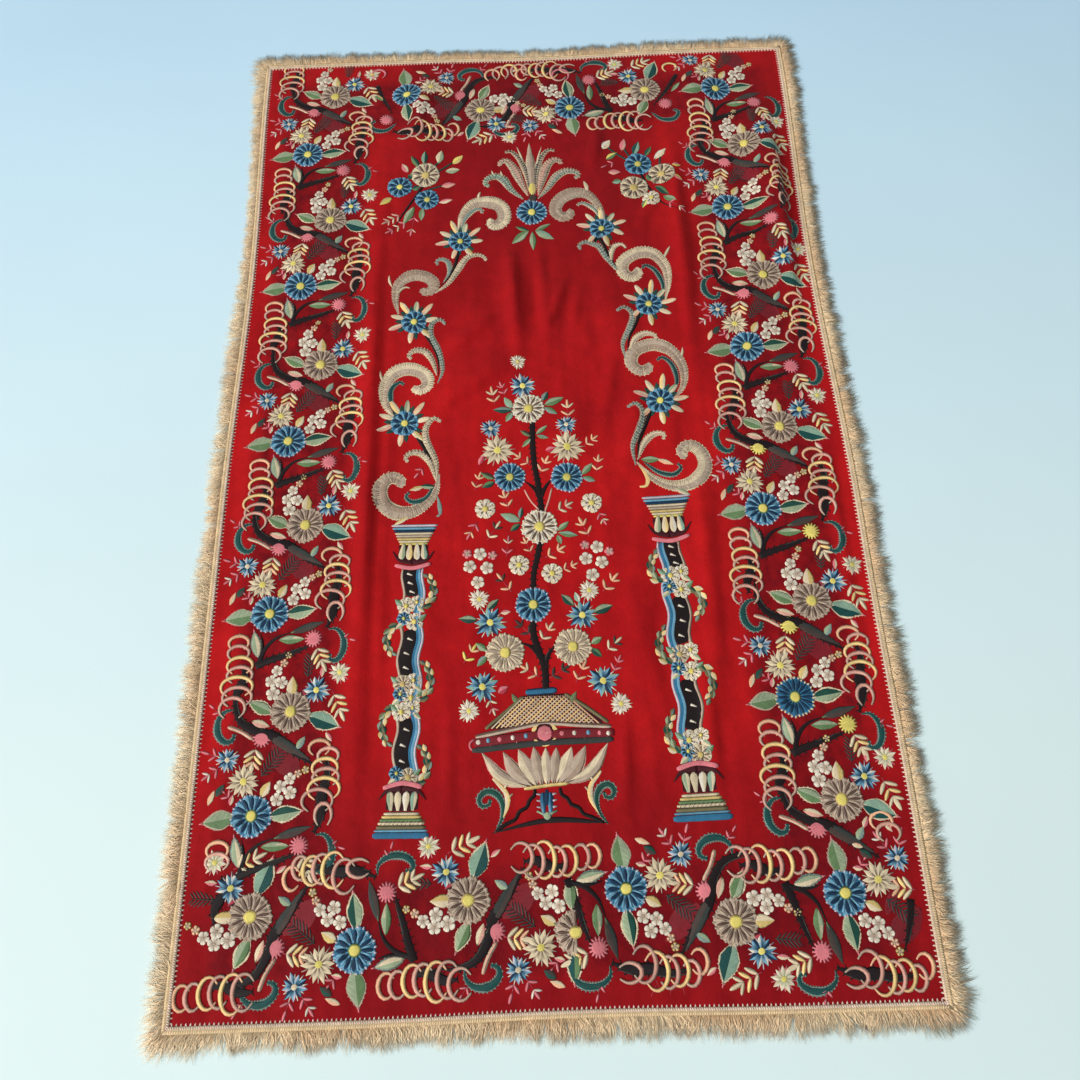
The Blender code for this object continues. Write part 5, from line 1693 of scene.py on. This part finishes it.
class RUG_OT_lay_cloth(bpy.types.Operator):
    """Lay the red wool cloth on its folds"""

    bl_idname = "rug.lay_cloth"
    bl_label = "Lay the cloth"

    def execute(self, context):
        settings = context.scene.rug_settings
        rows = settings.cloth_rows
        columns = round(rows * CLOTH_WIDTH / CLOTH_LENGTH)
        builder = bmesh.new()
        bmesh.ops.create_grid(builder, x_segments=columns, y_segments=rows, size=0.5)
        plan = np.array([vertex.co[:2] for vertex in builder.verts])
        across, up = plan[:, 0] + 0.5, plan[:, 1] + 0.5
        x, y = plan[:, 0] * CLOTH_WIDTH, plan[:, 1] * CLOTH_LENGTH
        shift_x = draw_in("left", y) * (1 - across) - draw_in("right", y) * across
        shift_y = draw_in("near", x) * (1 - up) - draw_in("far", x) * up
        x, y = x + shift_x, y + shift_y
        for vertex, place in zip(builder.verts, np.stack([x, y, underside_height(x, y)], 1)):
            vertex.co = place
        mesh = built_mesh("rug_cloth", builder)
        mesh.polygons.foreach_set("use_smooth", np.ones(len(mesh.polygons), bool))
        # sewn masks the painted shade between the border stitches and the pucker bump; the second attribute
        # holds the painted shade of the upper field and near end.
        for name, share in (("sewn", sewn_share(x, y)), ("painted_shade", painted_shade_share(x, y))):
            layer = mesh.attributes.new(name, "FLOAT", "POINT")
            layer.data.foreach_set("value", share.astype(np.float32))
        cloth = link_piece("rug_cloth", mesh, wool_material(settings), "red_wool", "cloth")
        thickness = cloth.modifiers.new("thickness", "SOLIDIFY")
        thickness.thickness = CLOTH_THICKNESS
        thickness.offset = 1.0
        return {"FINISHED"}


class RUG_OT_sew_borders(bpy.types.Operator):
    """Stitch the four borders"""

    bl_idname = "rug.sew_borders"
    bl_label = "Sew the borders"

    def execute(self, context):
        for name in BORDERS:
            sew_piece(f"{name}_border", sew_border, name)
        return {"FINISHED"}


class RUG_OT_sew_arch(bpy.types.Operator):
    """Stitch the arch, its palmette and the two corner bouquets"""

    bl_idname = "rug.sew_arch"
    bl_label = "Sew the arch"

    def execute(self, context):
        sew_piece("arch", sew_arch)
        sew_piece("palmette", sew_palmette)
        sew_piece("bouquets", sew, BOUQUETS)
        return {"FINISHED"}


class RUG_OT_sew_columns(bpy.types.Operator):
    """Stitch the two columns"""

    bl_idname = "rug.sew_columns"
    bl_label = "Sew the columns"

    def execute(self, context):
        for name, column in zip(("left", "right"), COLUMNS):
            sew_piece(f"{name}_column", sew_column, column)
        return {"FINISHED"}


class RUG_OT_sew_tree(bpy.types.Operator):
    """Stitch the flowering tree and its vase"""

    bl_idname = "rug.sew_tree"
    bl_label = "Sew the tree and vase"

    def execute(self, context):
        sew_piece("tree", sew, TREE)
        sew_piece("vase", sew_vase)
        return {"FINISHED"}


class RUG_OT_sew_braid(bpy.types.Operator):
    """Sew the plaited braid over the cloth's edge"""

    bl_idname = "rug.sew_braid"
    bl_label = "Sew the braid"

    def execute(self, context):
        settings = context.scene.rug_settings
        THREADS["braid"] = np.array(settings.fringe_gold[:])
        THREADS["braid inner"] = np.array(settings.braid_pink[:])
        material = thread_material("braid", 0.7, 0.05)
        for side in SIDES:
            stitched = stitched_arrays(braid_hoop(side).shapes, None, 0.0013)
            stitched[0][:, 2] += 0.002
            # Painted shade: the strip under the plaited stitches is 0.7 times the braid colour, so the gaps
            # between stitches read darker.
            link_trimming("woven_braid", side, BRAID_STRIP, 0.7 * THREADS["braid"], stitched,
                          material, "braid")
        return {"FINISHED"}


class RUG_OT_tie_fringe(bpy.types.Operator):
    """Tie the fringe on all four sides"""

    bl_idname = "rug.tie_fringe"
    bl_label = "Tie the fringe"

    def execute(self, context):
        settings = context.scene.rug_settings
        material = thread_material("fringe", 0.65, 0.1, 0.0004)
        for seed, side in enumerate(SIDES):
            # The strip under the fringe roots takes the root colour: painted shade where the strands bunch.
            link_trimming("brush_fringe", side, HEAD_STRIP, settings.fringe_root[:],
                          fringe_arrays(side, settings, 40 + seed), material, "fringe")
        return {"FINISHED"}


CAMERA_PLACE = (0.007, -0.6402, 1.2501)
CAMERA_TURN = (0.34528, 0.01139, -0.03512)     # axis times angle, in radians
Lamp = namedtuple("Lamp", "name place aim size watts colour")
LAMPS = (
    Lamp("window", (-8.2, -4.6, 5.8), (0.0, -0.1, 0.0), 4.6, 1270.0, (1.0, 0.985, 0.96)),
    Lamp("ceiling", (0.5, 0.2, 3.4), (0.1, 0.1, 0.0), 2.6, 20.0, (0.96, 0.98, 1.0)),
)


class RUG_OT_set_stage(bpy.types.Operator):
    """Set the floor, the soft lights and the camera"""

    bl_idname = "rug.set_stage"
    bl_label = "Set the stage"

    def execute(self, context):
        scene = context.scene
        builder = bmesh.new()
        bmesh.ops.create_grid(builder, x_segments=8, y_segments=8, size=6.0)
        bmesh.ops.translate(builder, verts=builder.verts[:], vec=(0, 0, -0.0006))
        mesh = built_mesh("floor", builder)
        mesh.materials.append(floor_material(scene.rug_settings))
        floor = bpy.data.objects.new("floor", mesh)
        scene.collection.objects.link(floor)
        for row in LAMPS:
            data = bpy.data.lights.new(row.name, "AREA")
            data.shape = "SQUARE"
            data.size = row.size
            data.energy = row.watts
            data.color = row.colour
            lamp = bpy.data.objects.new(row.name, data)
            aim = Vector(row.aim) - Vector(row.place)
            lamp.matrix_world = (
                Matrix.Translation(row.place) @ aim.to_track_quat("-Z", "Y").to_matrix().to_4x4()
            )
            scene.collection.objects.link(lamp)
        world = bpy.data.worlds.new("soft_daylight")
        world.use_nodes = True
        sky = world.node_tree.nodes["Background"]
        sky.inputs["Color"].default_value = (0.86, 0.94, 1.0, 1.0)
        sky.inputs["Strength"].default_value = 0.33
        scene.world = world
        data = bpy.data.cameras.new("camera")
        data.sensor_width = 36.0
        data.lens = 27.0
        camera = bpy.data.objects.new("camera", data)
        turn = Vector(CAMERA_TURN)
        rotation = Matrix.Rotation(turn.length, 4, turn.normalized())
        camera.matrix_world = Matrix.Translation(CAMERA_PLACE) @ rotation
        scene.collection.objects.link(camera)
        scene.camera = camera
        scene.view_settings.view_transform = "Standard"
        return {"FINISHED"}


OPERATORS = (
    RUG_OT_lay_cloth, RUG_OT_sew_borders, RUG_OT_sew_arch, RUG_OT_sew_columns, RUG_OT_sew_tree,
    RUG_OT_sew_braid, RUG_OT_tie_fringe, RUG_OT_set_stage,
)


class RUG_PT_maker(bpy.types.Panel):
    """The rug's steps and settings"""

    bl_idname = "RUG_PT_maker"
    bl_label = "Prayer rug"
    bl_space_type = "VIEW_3D"
    bl_region_type = "UI"
    bl_category = "Prayer rug"

    def draw(self, context):
        for operator in OPERATORS:
            self.layout.operator(operator.bl_idname)
        for name in RugSettings.__annotations__:
            self.layout.prop(context.scene.rug_settings, name)
        for name in THREAD_NAMES:
            self.layout.prop(context.scene.rug_threads, name)


CLASSES = (RugThreads, RugSettings, *OPERATORS, RUG_PT_maker)


def register():
    for item in CLASSES:
        bpy.utils.register_class(item)
    bpy.types.Scene.rug_threads = PointerProperty(type=RugThreads)
    bpy.types.Scene.rug_settings = PointerProperty(type=RugSettings)


def unregister():
    del bpy.types.Scene.rug_settings
    del bpy.types.Scene.rug_threads
    for item in reversed(CLASSES):
        bpy.utils.unregister_class(item)


def main():
    """Make the rug and its stage."""
    register()
    bpy.ops.rug.lay_cloth()
    bpy.ops.rug.sew_borders()
    bpy.ops.rug.sew_arch()
    bpy.ops.rug.sew_columns()
    bpy.ops.rug.sew_tree()
    bpy.ops.rug.sew_braid()
    bpy.ops.rug.tie_fringe()
    bpy.ops.rug.set_stage()


if __name__ == "__main__":
    main()
